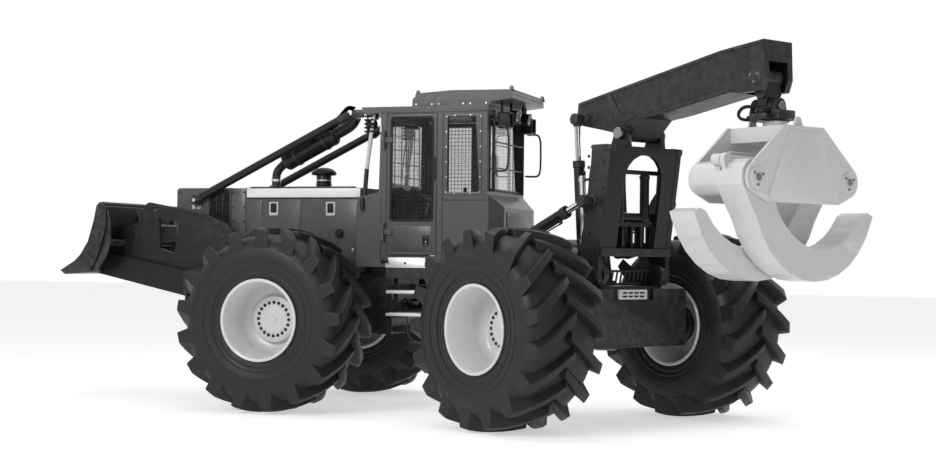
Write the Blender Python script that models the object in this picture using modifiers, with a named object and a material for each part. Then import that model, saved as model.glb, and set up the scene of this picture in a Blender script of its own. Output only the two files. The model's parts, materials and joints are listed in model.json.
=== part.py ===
"""Articulated grapple log skidder, standing with its rear half steered to one side.

Metres, +Z up.  Each half of the machine is drawn in its own frame: X forward from the
articulation pivot, Y to the machine's left, Z up from the ground.  The rear half then
turns under the front half by ARTICULATION.
"""
import math

import bmesh
import bpy
from mathutils import Matrix, Vector

# ---- whole machine --------------------------------------------------------------
ARTICULATION = math.radians(31.15)   # rear half turned under the front half, at rest
AXLE_X = 1.898                       # articulation pivot to each axle
AXLE_Z = 0.975                       # axle height, which is the tyre's radius
TRACK_HALF = 1.334                   # centre line to the middle of a tyre
SEAT = 0.0003                        # gap between faces that touch
RUN = 0.0003                         # radial running clearance at pins and rods
CLEAR = 0.006                        # free space beside anything that moves

# ---- wheels -----------------------------------------------------------------------
TYRE_HALF_WIDTH = 0.44
BEAD_RADIUS = 0.41
FLANGE_RADIUS = 0.435
RIM_HALF_WIDTH = 0.41
DISH_RADIUS = 0.32
HUB_RADIUS = 0.22
HUB_LENGTH = 0.20
WHEEL_SIDES = 24                     # the same on tyre and rim, so that they nest
PIN_SIDES = 24
ROD_SIDES = 16

# ---- axles ------------------------------------------------------------------------
AXLE_TUBE_RADIUS = 0.15
DIFFERENTIAL_RADIUS = 0.22
TRUNNION_RADIUS = 0.11

# ---- frames, both halves -------------------------------------------------------------
FRAME_HALF_WIDTH = 0.41
FRAME_WALL = 0.05
FRAME_BOTTOM = 0.80
AXLE_ARCH_HALF = 0.26                # half length of the notch over an axle
AXLE_ARCH_TOP = 1.19
FRONT_FRAME_TOP = 1.46
FRONT_FRAME_END = 3.50
REAR_FRAME_TOP = 1.39
REAR_FRAME_END = -2.26
BUTT_HALF_WIDTH = 0.76
BUTT_Z = (0.78, 1.36)
HITCH_FACE = 0.93                    # pivot to the end plate of each frame
HITCH_RADIUS = 0.16
HITCH_PIN_RADIUS = 0.05
HITCH_UPPER_Z = (1.28, 1.34)
HITCH_LOWER_Z = (0.82, 0.88)
HITCH_PLATE = 0.06
SHAFT_HOLE = 0.11                    # drive shaft opening in each frame's end plate

# ---- engine and hood -------------------------------------------------------------------
HOOD_HALF_WIDTH = 0.55
HOOD_TOP = 2.41
HOOD_REAR_X = 1.26
HOOD_FRONT_X = 2.84
HOOD_SKIN = 0.03
STRIPE_BOTTOM = 2.29
PANEL_BOTTOM = 1.53
RADIATOR_FRONT_X = 3.54
RADIATOR_BOTTOM = 1.49
ENGINE_X = (1.50, 2.70)
ENGINE_HALF_WIDTH = 0.36
ENGINE_TOP = 2.20

# ---- cab -----------------------------------------------------------------------------
CAB_HALF_WIDTH = 0.66
CAB_WALL = 0.05
CAB_BOTTOM = 1.54
CAB_TOP = 3.28
CAB_FRONT_X = 1.00
CAB_REAR_X = -0.24
COWL_FRONT_X = 1.245
COWL_TOP = 2.30
REAR_BOX_X = -0.40
REAR_BOX_TOP = 2.33
ROOF_FRONT_X = 1.207
DOOR_X = (0.33, 0.905)
DOOR_Z = (1.67, 3.22)
DOOR_THICKNESS = 0.045
DOOR_WINDOW_X = (0.378, 0.853)
DOOR_WINDOW_Z = (2.05, 3.157)
DOOR_HINGE_X = 0.935
DOOR_HINGE_OUT = 0.03                # hinge line outside the cab's side
SIDE_WINDOW_Z = (2.35, 3.16)
VISOR_HALF_WIDTH = 0.59
GLASS = 0.008

# ---- blade ---------------------------------------------------------------------------
BLADE_PIVOT = (2.60, 1.50)           # x, z
BLADE_HALF_WIDTH = 1.10
ARM_INSIDE = 0.68
ARM_THICKNESS = 0.13
TOWER_INSIDE = 0.70
TOWER_THICKNESS = 0.04
BLADE_PIN_RADIUS = 0.05

# ---- rear attachments ----------------------------------------------------------------
ARCH_PIVOT = (-2.22, 1.50)
ARCH_INSIDE = 0.44
ARCH_OUTSIDE = 0.50
ARCH_TOP = 2.76
ARCH_PIN_RADIUS = 0.05
BOOM_PIVOT = (-2.36, 2.888)
BOOM_HALF_WIDTH = 0.20
BOOM_PIN_RADIUS = 0.045
HANG_X = -4.06                       # centre of everything that hangs from the boom
CROSS_PIN_Z = 3.32
SWING_PIN_Z = 3.06
ROTATOR_Z = (2.865, 2.985)
GRAPPLE_PIVOT_Y = 0.64
GRAPPLE_PIVOT_Z = 2.38
HEAD_HALF_DEPTH = 0.31
HEAD_PLATE = 0.03
HEAD_TOP = 2.86
TONG_PIN_RADIUS = 0.04
TONG_TUBE_RADIUS = 0.17
HORN = (0.12, 0.16)                  # cylinder pin from a tong's pivot: outward, up

# ---- hydraulic cylinders: eye to eye in each half's frame --------------------------------
BLADE_BASE = (2.75, 0.95)
BLADE_EYE = (3.75, 1.40)
BLADE_CYLINDER_Y = 0.58
STEER_BASE = (0.85, 0.36)
STEER_EYE = (-0.50, 0.30)
STEER_Z = 1.08
ARCH_BASE = (-1.15, 1.78)
ARCH_EYE = (-2.20, 2.22)
ARCH_CYLINDER_Y = 0.60
BOOM_BASE = (-1.86, 1.72)
BOOM_EYE = (-1.76, 3.06)
BOOM_CYLINDER_Y = 0.285


# ================================ shape helpers ========================================
def collection(name):
    group = bpy.data.collections.new(name)
    bpy.context.scene.collection.children.link(group)
    return group


def as_object(bm):
    mesh = bpy.data.meshes.new("shape")
    bm.to_mesh(mesh)
    bm.free()
    body = bpy.data.objects.new("shape", mesh)
    WORKBENCH.objects.link(body)
    return body


def frozen(body):
    """The evaluated mesh of a curve or of an object with modifiers, welded closed."""
    bpy.context.view_layer.update()
    graph = bpy.context.evaluated_depsgraph_get()
    mesh = bpy.data.meshes.new_from_object(body.evaluated_get(graph))
    mesh.transform(body.matrix_world)
    bm = bmesh.new()
    bm.from_mesh(mesh)
    bmesh.ops.remove_doubles(bm, verts=bm.verts, dist=0.00001)
    bmesh.ops.recalc_face_normals(bm, faces=bm.faces)
    bpy.data.meshes.remove(mesh)
    bpy.data.objects.remove(body)
    return as_object(bm)


def box(low, high):
    size = [b - a for a, b in zip(low, high)]
    middle = [(a + b) / 2 for a, b in zip(low, high)]
    bm = bmesh.new()
    place = Matrix.Translation(middle) @ Matrix.Diagonal((*size, 1.0))
    bmesh.ops.create_cube(bm, size=1.0, matrix=place)
    return as_object(bm)


def bar(start, end, radius, sides=16, end_radius=None):
    """A round bar, or a cone where end_radius is given."""
    start, end = Vector(start), Vector(end)
    along = end - start
    turn = along.to_track_quat("Z", "Y").to_matrix().to_4x4()
    bm = bmesh.new()
    bmesh.ops.create_cone(bm, cap_ends=True, segments=sides, radius1=radius,
                          radius2=radius if end_radius is None else end_radius,
                          depth=along.length,
                          matrix=Matrix.Translation((start + end) / 2) @ turn)
    return as_object(bm)


PLANES = {
    "X": Matrix(((0, 0, 1, 0), (1, 0, 0, 0), (0, 1, 0, 0), (0, 0, 0, 1))),
    "Y": Matrix(((1, 0, 0, 0), (0, 0, -1, 0), (0, 1, 0, 0), (0, 0, 0, 1))),
    "Z": Matrix.Identity(4),
}


def prism(outline, across, low, high):
    """A flat outline, filled and given thickness along one axis, from low to high."""
    curve = bpy.data.curves.new("outline", "CURVE")
    curve.dimensions = "2D"
    curve.fill_mode = "BOTH"
    curve.extrude = (high - low) / 2
    spline = curve.splines.new("POLY")
    spline.points.add(len(outline) - 1)
    for point, (u, v) in zip(spline.points, outline):
        point.co = (u, v, 0, 1)
    spline.use_cyclic_u = True
    body = bpy.data.objects.new("outline", curve)
    WORKBENCH.objects.link(body)
    shift = Vector([(low + high) / 2 if axis == across else 0 for axis in "XYZ"])
    body.matrix_world = Matrix.Translation(shift) @ PLANES[across]
    return frozen(body)


def tube(points, radius, resolution=4):
    curve = bpy.data.curves.new("route", "CURVE")
    curve.dimensions = "3D"
    curve.bevel_depth = radius
    curve.bevel_resolution = resolution
    curve.use_fill_caps = True
    spline = curve.splines.new("POLY")
    spline.points.add(len(points) - 1)
    for point, place in zip(spline.points, points):
        point.co = (*place, 1)
    body = bpy.data.objects.new("route", curve)
    WORKBENCH.objects.link(body)
    return frozen(body)


def turned(profile, base, direction, sides):
    """A turned piece: profile of (radius, distance along the axis), top end first."""
    mesh = bpy.data.meshes.new("profile")
    edges = [(i, i + 1) for i in range(len(profile) - 1)]
    if profile[0][0] > 0:
        edges.append((len(profile) - 1, 0))
    mesh.from_pydata([(r, 0, h) for r, h in profile], edges, [])
    body = bpy.data.objects.new("profile", mesh)
    WORKBENCH.objects.link(body)
    screw = body.modifiers.new("turn", "SCREW")
    screw.axis = "Z"
    screw.steps = screw.render_steps = sides
    screw.use_merge_vertices = True
    screw.merge_threshold = 0.0001
    turn = Vector(direction).to_track_quat("Z", "Y").to_matrix().to_4x4()
    body.matrix_world = Matrix.Translation(base) @ turn
    return frozen(body)


def boolean(body, tool, operation):
    change = body.modifiers.new(operation, "BOOLEAN")
    change.operation = operation
    change.solver = "EXACT"
    change.object = tool
    bpy.context.view_layer.update()
    graph = bpy.context.evaluated_depsgraph_get()
    mesh = bpy.data.meshes.new_from_object(body.evaluated_get(graph))
    body.modifiers.clear()
    body.data = mesh
    bpy.data.objects.remove(tool)
    return body


def join(body, *others):
    for other in others:
        boolean(body, other, "UNION")
    return body


def cut(body, *tools):
    for tool in tools:
        boolean(body, tool, "DIFFERENCE")
    return body


def mirrored(body, axis=1):
    """A copy of a shape on the other side of the centre plane."""
    bm = bmesh.new()
    bm.from_mesh(body.data)
    flip = [1, 1, 1]
    flip[axis] = -1
    bmesh.ops.transform(bm, matrix=Matrix.Diagonal((*flip, 1)), verts=bm.verts)
    bmesh.ops.reverse_faces(bm, faces=bm.faces)
    return as_object(bm)


def circle(centre, radius, count=16, first=0.0, last=360.0):
    """Points round a circle, or along an arc, in degrees."""
    full = abs(last - first) >= 360
    steps = count if full else count - 1
    angles = [math.radians(first + (last - first) * i / steps) for i in range(count)]
    return [(centre[0] + radius * math.cos(a), centre[1] + radius * math.sin(a)) for a in angles]


def wrap(points):
    """The tight outline around a set of points."""
    points = sorted(set((round(u, 6), round(v, 6)) for u, v in points))

    def half(run):
        chain = []
        for p in run:
            while len(chain) > 1:
                (ax, ay), (bx, by) = chain[-2:]
                if (bx - ax) * (p[1] - ay) - (by - ay) * (p[0] - ax) > 1e-9:
                    break
                chain.pop()
            chain.append(p)
        return chain[:-1]
    return half(points) + half(points[::-1])


def bore(body, centre, axis, radius, half_length, sides=PIN_SIDES):
    """A hole for a pin of this radius, with running clearance on the flats."""
    hole = (radius + RUN) / math.cos(math.pi / sides)
    reach = Vector(axis) * half_length
    centre = Vector(centre)
    return cut(body, bar(centre - reach, centre + reach, hole, sides))


# ================================ finishes and placing ====================================
def material(name, colour, roughness, metallic=0.0):
    finish = bpy.data.materials.new(name)
    finish.use_nodes = True
    shader = finish.node_tree.nodes["Principled BSDF"]
    shader.inputs["Base Color"].default_value = (*colour, 1)
    shader.inputs["Roughness"].default_value = roughness
    shader.inputs["Metallic"].default_value = metallic
    return finish


PLACES = {}


def joint(name, at, parent):
    """An empty on a joint's axis, placed in the frame of its half of the machine."""
    empty = bpy.data.objects.new(name, None)
    MACHINE.objects.link(empty)
    PLACES[name] = Vector(at)
    if parent is not None:
        empty.parent = parent
        empty.location = Vector(at) - PLACES[parent.name]
    return empty


def piece(name, body, finish, parent):
    """Names a finished shape and hangs it on the empty that carries it."""
    body.name = body.data.name = name
    bm = bmesh.new()
    bm.from_mesh(body.data)
    bmesh.ops.remove_doubles(bm, verts=bm.verts, dist=0.00003)
    bmesh.ops.dissolve_degenerate(bm, dist=0.00001, edges=bm.edges)
    bm.to_mesh(body.data)
    bm.free()
    body.data.transform(Matrix.Translation(-PLACES[parent.name]))
    body.data.materials.clear()
    body.data.materials.append(FINISH[finish])
    body.data.set_sharp_from_angle(angle=math.radians(35))
    body.parent = parent
    WORKBENCH.objects.unlink(body)
    MACHINE.objects.link(body)
    return body


# ================================ hydraulic cylinders =====================================
def barrel(base, tip, length, radius, rod_radius, eye_radius, eye_width, axis, pin_radius):
    """Closed at its eye, bored from the gland end for the rod."""
    along = (Vector(tip) - Vector(base)).normalized()
    start = eye_radius * 0.7
    collar = 0.07
    inside = (rod_radius + RUN) / math.cos(math.pi / ROD_SIDES)
    profile = [(0, start + 0.05), (inside, start + 0.05), (inside, length),
               (radius + 0.008, length), (radius + 0.008, length - collar),
               (radius, length - collar), (radius, start), (0, start)]
    body = turned(profile, base, along, ROD_SIDES)
    half = Vector(axis) * (eye_width / 2)
    eye = bar(Vector(base) - half, Vector(base) + half, eye_radius)
    body = join(body, eye)
    return bore(body, base, axis, pin_radius, eye_width)


def rod(base, tip, inner_end, rod_radius, eye_radius, eye_width, axis):
    along = (Vector(tip) - Vector(base)).normalized()
    stem = bar(Vector(base) + along * inner_end, Vector(tip), rod_radius, ROD_SIDES)
    half = Vector(axis) * (eye_width / 2)
    return join(stem, bar(Vector(tip) - half, Vector(tip) + half, eye_radius))


# ================================ wheels and axles ========================================
def make_tyre():
    w = TYRE_HALF_WIDTH
    b = RIM_HALF_WIDTH - 0.025
    half = [(BEAD_RADIUS, b), (FLANGE_RADIUS + 0.01, b), (0.56, w - 0.005), (0.72, w),
            (0.88, w - 0.03), (AXLE_Z - 0.02, w - 0.08), (AXLE_Z, w - 0.19)]
    profile = half + [(r, -h) for r, h in half[::-1]]
    return turned(profile, (0, 0, 0), (0, 1, 0), WHEEL_SIDES)


def make_rim():
    """Flanges, drop centre and dished disc in one turned piece, outer face to +Y."""
    out = RIM_HALF_WIDTH
    lip = out - 0.025 + SEAT
    seat = BEAD_RADIUS - SEAT
    well = seat - 0.025
    profile = [(0, 0.0), (DISH_RADIUS, 0.0), (well, 0.12), (well, out), (FLANGE_RADIUS, out),
               (FLANGE_RADIUS, lip), (seat, lip), (seat, -lip), (FLANGE_RADIUS, -lip),
               (FLANGE_RADIUS, -out), (well, -out), (well, 0.08), (DISH_RADIUS, -0.03),
               (HUB_RADIUS, -0.03), (HUB_RADIUS - 0.02, -HUB_LENGTH), (0, -HUB_LENGTH)]
    return turned(profile, (0, 0, 0), (0, 1, 0), WHEEL_SIDES)


def make_wheel(name, end, side, parent):
    centre = Vector((end * AXLE_X, side * TRACK_HALF, AXLE_Z))
    hub = joint(name + "_axis", centre, parent)
    for part, shape, finish in (("tyre", make_tyre(), "tyre"), ("rim", make_rim(), "rim")):
        if side < 0:
            flipped = mirrored(shape)
            bpy.data.objects.remove(shape)
            shape = flipped
        shape.data.transform(Matrix.Translation(centre))
        piece(f"{part}_{name}", shape, finish, hub)


def make_axle(end):
    """Axle tubes between the hubs, with the differential in the middle."""
    reach = TRACK_HALF - HUB_LENGTH - SEAT
    centre = Vector((end * AXLE_X, 0, AXLE_Z))
    profile = [(0, reach), (0.19, reach), (0.19, reach - 0.06), (AXLE_TUBE_RADIUS, reach - 0.16),
               (AXLE_TUBE_RADIUS, 0.30), (DIFFERENTIAL_RADIUS, 0.16)]
    profile += [(r, -h) for r, h in profile[::-1]]
    axle = turned(profile, centre, (0, 1, 0), 20)
    if end > 0:
        grip = AXLE_ARCH_HALF - FRAME_WALL / 2 - SEAT
        nose = Vector((grip, 0, 0))
        return join(axle, bar(centre - nose, centre + nose, TRUNNION_RADIUS, 14))
    pads = []
    for side in (-1, 1):
        inner, outer = sorted((side * (FRAME_HALF_WIDTH - 0.08), side * (FRAME_HALF_WIDTH + 0.02)))
        pads.append(box((centre.x - 0.12, inner, AXLE_Z), (centre.x + 0.12, outer, AXLE_ARCH_TOP - SEAT)))
    return join(axle, *pads)


# ================================ front half ==============================================
def frame_sides(outline):
    inner = FRAME_HALF_WIDTH - FRAME_WALL
    left = prism(outline, "Y", inner, FRAME_HALF_WIDTH)
    return left, mirrored(left)


def hitch_plate(direction, low, high, half_width):
    """A tapered plate from a frame's end to the articulation pivot."""
    root = [(direction * (HITCH_FACE + 0.02), half_width), (direction * (HITCH_FACE + 0.02), -half_width)]
    plate = prism(wrap(circle((0, 0), HITCH_RADIUS) + root), "Z", low, high)
    return plate


def steer_ears(place, side):
    """Two plates, above and below a steering cylinder's eye, with their root in the frame."""
    x, y = place
    ears = []
    root = math.copysign(HITCH_FACE + 0.02, x)
    for low in (STEER_Z - 0.06 - CLEAR - 0.03, STEER_Z + 0.06 + CLEAR):
        outline = wrap(circle((x, side * y), 0.07, 12) + [(root, side * (y - 0.08)), (root, side * (y + 0.04))])
        ears.append(prism(outline, "Z", low, low + 0.03))
    return ears


def make_front_frame():
    a, b = AXLE_X - AXLE_ARCH_HALF, AXLE_X + AXLE_ARCH_HALF
    top, end = FRONT_FRAME_TOP, FRONT_FRAME_END
    outline = [(HITCH_FACE, FRAME_BOTTOM), (a, FRAME_BOTTOM), (a, AXLE_ARCH_TOP), (b, AXLE_ARCH_TOP),
               (b, FRAME_BOTTOM), (3.20, 0.88), (end, 1.08), (end, top), (HITCH_FACE, top)]
    body, right = frame_sides(outline)
    inner = FRAME_HALF_WIDTH - FRAME_WALL + 0.01
    wall = FRAME_WALL / 2
    parts = [right,
             box((HITCH_FACE, -inner, top - 0.05), (end, inner, top - 0.002)),
             box((HITCH_FACE + 0.002, -inner, FRAME_BOTTOM + 0.002), (HITCH_FACE + 0.05, inner, top - 0.01)),
             box((a - wall, -inner, FRAME_BOTTOM + 0.003), (a + wall, inner, top - 0.02)),
             box((b - wall, -inner, FRAME_BOTTOM + 0.003), (b + wall, inner, top - 0.02)),
             box((HITCH_FACE + 0.03, -inner, FRAME_BOTTOM + 0.004), (a, inner, FRAME_BOTTOM + 0.03)),
             box((b, -inner, 0.89), (3.30, inner, 0.92)),
             box((end - 0.05, -inner, 1.09), (end - 0.003, inner, top - 0.01)),
             hitch_plate(1, *HITCH_LOWER_Z, 0.30), hitch_plate(1, *HITCH_UPPER_Z, 0.30)]
    # blade pivot pins and the ears of the blade cylinders stand out from the side plates
    for side in (-1, 1):
        x, z = BLADE_PIVOT
        pin_end = side * (ARM_INSIDE + ARM_THICKNESS + 0.02)
        parts.append(bar((x, side * 0.5, z), (x, pin_end, z), BLADE_PIN_RADIUS, PIN_SIDES))
        parts.append(bar((x, side * 0.40, z), (x, side * (ARM_INSIDE - CLEAR), z), 0.085, 16))
        inner, outer = sorted((side * (FRAME_HALF_WIDTH - 0.01), side * (FRAME_HALF_WIDTH + 0.04)))
        bracket = wrap(circle((x, z), 0.115, 14) + [(x - 0.22, top - 0.10), (x + 0.22, top - 0.10)])
        parts.append(prism(bracket, "Y", inner, outer))
        x, z = BLADE_BASE
        parts.append(bar((x, side * 0.37, z), (x, side * 0.52, z), 0.075, 16))
        parts.append(bar((x, side * 0.50, z), (x, side * (BLADE_CYLINDER_Y + 0.055), z), 0.03, PIN_SIDES))
    body = join(body, *parts)
    for side in (-1, 1):
        body = join(body, *steer_ears(STEER_BASE, side))
        x, y = STEER_BASE
        body = join(body, bar((x, side * y, STEER_Z - 0.09), (x, side * y, STEER_Z + 0.09), 0.03, PIN_SIDES))
    for low, high in (HITCH_LOWER_Z, HITCH_UPPER_Z):
        body = bore(body, (0, 0, (low + high) / 2), (0, 0, 1), HITCH_PIN_RADIUS, 0.1)
    # platform legs that carry the cab's floor
    legs = []
    for x in (0.97, 1.18):
        legs.append(box((x, -0.40, top - 0.01), (x + 0.06, 0.40, CAB_BOTTOM - SEAT)))
    body = join(body, *legs)
    return cut(body, bar((HITCH_FACE - 0.1, 0, STEER_Z), (HITCH_FACE + 0.1, 0, STEER_Z), SHAFT_HOLE, 20))


def make_hood():
    w, t = HOOD_HALF_WIDTH, HOOD_SKIN
    outside = prism([(-w, STRIPE_BOTTOM), (w, STRIPE_BOTTOM), (w, HOOD_TOP - 0.03), (w - 0.06, HOOD_TOP),
                     (0.06 - w, HOOD_TOP), (-w, HOOD_TOP - 0.03)], "X", HOOD_REAR_X, HOOD_FRONT_X)
    inside = box((HOOD_REAR_X + t, t - w, STRIPE_BOTTOM - 0.1), (HOOD_FRONT_X - t, w - t, HOOD_TOP - t))
    return cut(outside, inside)


def make_engine_panel(side):
    """Side shield: its lower rear edge slopes with the cowl."""
    notch = BLADE_PIVOT[0] - 0.14
    outline = [(HOOD_REAR_X + 0.03, PANEL_BOTTOM), (notch, PANEL_BOTTOM), (notch + 0.03, PANEL_BOTTOM + 0.09),
               (HOOD_FRONT_X, PANEL_BOTTOM + 0.09), (HOOD_FRONT_X, STRIPE_BOTTOM - SEAT),
               (HOOD_REAR_X, STRIPE_BOTTOM - SEAT)]
    inner, outer = sorted((side * (HOOD_HALF_WIDTH - HOOD_SKIN), side * HOOD_HALF_WIDTH))
    panel = prism(outline, "Y", inner, outer)
    foot_in, foot_out = sorted((side * (FRAME_HALF_WIDTH - 0.03), side * (HOOD_HALF_WIDTH - 0.01)))
    foot = box((1.32, foot_in, FRONT_FRAME_TOP + SEAT), (notch - 0.02, foot_out, FRONT_FRAME_TOP + 0.03))
    web_y = side * (HOOD_HALF_WIDTH - HOOD_SKIN / 2)
    web = box((1.33, web_y - 0.012, FRONT_FRAME_TOP + 0.01), (notch - 0.03, web_y + 0.012, PANEL_BOTTOM + 0.03))
    return join(panel, web, foot)


def make_radiator_housing():
    w = HOOD_HALF_WIDTH
    outline = [(HOOD_FRONT_X + SEAT, PANEL_BOTTOM), (3.12, RADIATOR_BOTTOM), (RADIATOR_FRONT_X, RADIATOR_BOTTOM),
               (RADIATOR_FRONT_X, HOOD_TOP - 0.02), (RADIATOR_FRONT_X - 0.03, HOOD_TOP),
               (HOOD_FRONT_X + SEAT, HOOD_TOP)]
    body = prism(outline, "Y", -w, w)
    duct = box((2.6, -w + 0.09, RADIATOR_BOTTOM + 0.12), (4.0, w - 0.09, HOOD_TOP - 0.09))
    feet = box((2.95, -0.36, FRONT_FRAME_TOP + SEAT), (3.45, 0.36, RADIATOR_BOTTOM + 0.01))
    body = cut(body, duct)
    core = box((3.18, -w + 0.08, RADIATOR_BOTTOM + 0.11), (3.34, w - 0.08, HOOD_TOP - 0.08))
    return join(body, core, feet)


def make_cab_shell():
    w, t = CAB_HALF_WIDTH, CAB_WALL
    outline = [(COWL_FRONT_X + 0.012, CAB_BOTTOM), (COWL_FRONT_X, COWL_TOP), (CAB_FRONT_X, COWL_TOP + 0.05),
               (CAB_FRONT_X - 0.02, CAB_TOP - 0.07), (ROOF_FRONT_X, CAB_TOP - 0.07), (ROOF_FRONT_X, CAB_TOP),
               (CAB_REAR_X, CAB_TOP), (CAB_REAR_X, REAR_BOX_TOP), (REAR_BOX_X, REAR_BOX_TOP - 0.14),
               (REAR_BOX_X, 1.86), (CAB_REAR_X, CAB_BOTTOM)]
    body = prism(outline, "Y", -w, w)
    hollow = prism([(COWL_FRONT_X - t, CAB_BOTTOM + t), (COWL_FRONT_X - t - 0.01, COWL_TOP - t),
                    (CAB_FRONT_X - t - 0.02, COWL_TOP - t), (CAB_FRONT_X - t - 0.02, CAB_TOP - 0.07),
                    (CAB_REAR_X + t, CAB_TOP - 0.07), (CAB_REAR_X + t, REAR_BOX_TOP - t),
                    (REAR_BOX_X + t, REAR_BOX_TOP - 0.14 - t), (REAR_BOX_X + t, 1.86 + 0.02),
                    (CAB_REAR_X + t, CAB_BOTTOM + t)], "Y", t - w, w - t)
    corners = []
    for side in (-1, 1):     # the rear box is narrower than the cab, its corners cut at an angle
        outline = [(CAB_REAR_X - 0.02, side * (w + 0.1)), (CAB_REAR_X - 0.02, side * (w + 0.001)),
                   (CAB_REAR_X - 0.10, side * (w - 0.10)), (REAR_BOX_X - 0.1, side * (w - 0.13)),
                   (REAR_BOX_X - 0.1, side * (w + 0.1))]
        corners.append(prism(outline, "Z", 1.0, REAR_BOX_TOP + 0.3))
    body = cut(body, hollow)
    gap = 0.005
    door = box((DOOR_X[0] - gap, -w - 0.1, DOOR_Z[0] - gap), (DOOR_X[1] + gap, w + 0.1, DOOR_Z[1] - 0.02 + gap))
    side_window = prism([(0.205, SIDE_WINDOW_Z[0]), (0.205, SIDE_WINDOW_Z[1]), (-0.11, SIDE_WINDOW_Z[1]),
                         (-0.155, SIDE_WINDOW_Z[0])], "Y", -w - 0.1, w + 0.1)
    windshield = box((CAB_FRONT_X - 0.2, 0.08 - w, COWL_TOP + 0.14), (CAB_FRONT_X + 0.1, w - 0.08, CAB_TOP - 0.13))
    rear_window = box((CAB_REAR_X - 0.1, 0.09 - w, REAR_BOX_TOP + 0.06), (CAB_REAR_X + 0.2, w - 0.09, CAB_TOP - 0.13))
    body = cut(body, door, side_window, windshield, rear_window, *corners)
    for side in (-1, 1):     # hinge knuckles on the front post, above and below each door knuckle
        y = side * (w + DOOR_HINGE_OUT)
        for z in (DOOR_Z[0] + 0.25, DOOR_Z[1] - 0.30):
            for low, high in ((z - 0.10, z - 0.03 - RUN), (z + 0.03 + RUN, z + 0.10)):
                body = join(body, bar((DOOR_HINGE_X, y, low), (DOOR_HINGE_X, y, high), 0.016, 12),
                            box((DOOR_HINGE_X - 0.012, min(y, side * (w - 0.02)), low + 0.002),
                                (DOOR_HINGE_X + 0.03, max(y, side * (w - 0.02)), high - 0.002)))
    return body


def make_door(side):
    w = CAB_HALF_WIDTH
    inner, outer = sorted((side * (w - DOOR_THICKNESS), side * w))
    panel = box((DOOR_X[0], inner, DOOR_Z[0]), (DOOR_X[1], outer, DOOR_Z[1] - 0.02))
    window = box((DOOR_WINDOW_X[0], inner - 0.1, DOOR_WINDOW_Z[0]), (DOOR_WINDOW_X[1], outer + 0.1, DOOR_WINDOW_Z[1]))
    door = cut(panel, window)
    y = side * (w + DOOR_HINGE_OUT)
    near, far = side * (w + CLEAR), side * (w + CLEAR + 0.016)
    for z in (DOOR_Z[0] + 0.25, DOOR_Z[1] - 0.30):
        strap = box((DOOR_X[1] - 0.07, min(near, far), z - 0.028), (DOOR_HINGE_X, max(near, far), z + 0.028))
        foot = box((DOOR_X[1] - 0.07, min(side * (w - 0.01), far), z - 0.026),
                   (DOOR_X[1] - 0.03, max(side * (w - 0.01), far), z + 0.026))
        door = join(door, foot, strap, bar((DOOR_HINGE_X, y, z - 0.03), (DOOR_HINGE_X, y, z + 0.03), 0.016, 12))
    return door


def make_roof():
    outline = [(0.646, CAB_TOP + SEAT), (0.646, 3.365), (0.566, 3.428), (0.209, 3.452), (-0.49, 3.446),
               (-0.49, 3.35), (CAB_REAR_X - 0.01, CAB_TOP + 0.04), (CAB_REAR_X, CAB_TOP + SEAT)]
    return prism(outline, "Y", -VISOR_HALF_WIDTH, VISOR_HALF_WIDTH)


def make_windshield():
    x = CAB_FRONT_X - CAB_WALL - 0.02 - SEAT
    w = CAB_HALF_WIDTH - CAB_WALL - 0.002
    return box((x - GLASS, -w, COWL_TOP + 0.10), (x, w, CAB_TOP - 0.10))


def make_rear_window():
    x = CAB_REAR_X + CAB_WALL + SEAT
    w = CAB_HALF_WIDTH - CAB_WALL - 0.002
    return box((x, -w, REAR_BOX_TOP + 0.02), (x + GLASS, w, CAB_TOP - 0.10))


def make_cab_interior():
    """Floor mat with the seat's pedestal, side consoles and the steering column on it."""
    floor = CAB_BOTTOM + CAB_WALL + SEAT
    body = box((-0.18, -0.50, floor), (0.92, 0.50, floor + 0.02))
    pedestal = box((0.02, -0.18, floor + 0.01), (0.36, 0.18, 2.02))
    consoles = [box((-0.02, side * 0.36 - 0.09, floor + 0.012), (0.42, side * 0.36 + 0.09, 2.22)) for side in (-1, 1)]
    column = bar((0.82, 0, floor + 0.01), (0.72, 0, 2.34), 0.045, 12)
    wheel = bar((0.726, 0, 2.32), (0.71, 0, 2.345), 0.17, 20)
    return join(body, pedestal, *consoles, column, wheel)


def make_seat():
    base = 2.02 + SEAT
    cushion = box((-0.03, -0.25, base), (0.45, 0.25, base + 0.13))
    back = prism([(-0.05, base + 0.02), (0.09, base + 0.02), (0.0, 2.86), (-0.12, 2.84)], "Y", -0.24, 0.24)
    return join(cushion, back)


def make_deflector(side):
    """Guard tube from the radiator housing up to the cab's front edge."""
    y = side * (HOOD_HALF_WIDTH + 0.06)
    low = Vector((3.27, y, 2.27))
    high = Vector((1.36, y, 3.215))
    body = bar(low, high, 0.045, 12)
    near, far = sorted((side * (HOOD_HALF_WIDTH + SEAT), y))
    foot = box((3.20, near, 2.21), (3.32, far, 2.33))
    plate = prism(wrap(circle((high.x, high.z), 0.085, 12) + circle((1.58, 3.10), 0.05, 8)),
                  "Y", y - 0.03, y + 0.03)
    shoe = box((ROOF_FRONT_X + SEAT, y - 0.025, 3.17), (high.x, y + 0.025, 3.26))
    return join(body, foot, plate, shoe)


def make_muffler():
    """Silencer slung under the left guard tube, with its riser out of the hood."""
    y = 0.40
    can = bar((2.26, y, 2.70), (1.62, y, 3.02), 0.11, 16)
    riser = tube([(2.36, y, HOOD_TOP + SEAT), (2.36, y, 2.52), (2.33, y, 2.63), (2.22, y, 2.71)], 0.05, 4)
    elbow = tube([(1.66, y, 3.0), (1.56, y, 3.06), (1.46, y, 3.12), (1.40, y + 0.02, 3.17)], 0.07, 4)
    hanger = box((1.86, y, 2.93), (1.92, HOOD_HALF_WIDTH + 0.06 - 0.045 - SEAT, 2.97))
    return join(can, riser, elbow, hanger)


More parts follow.
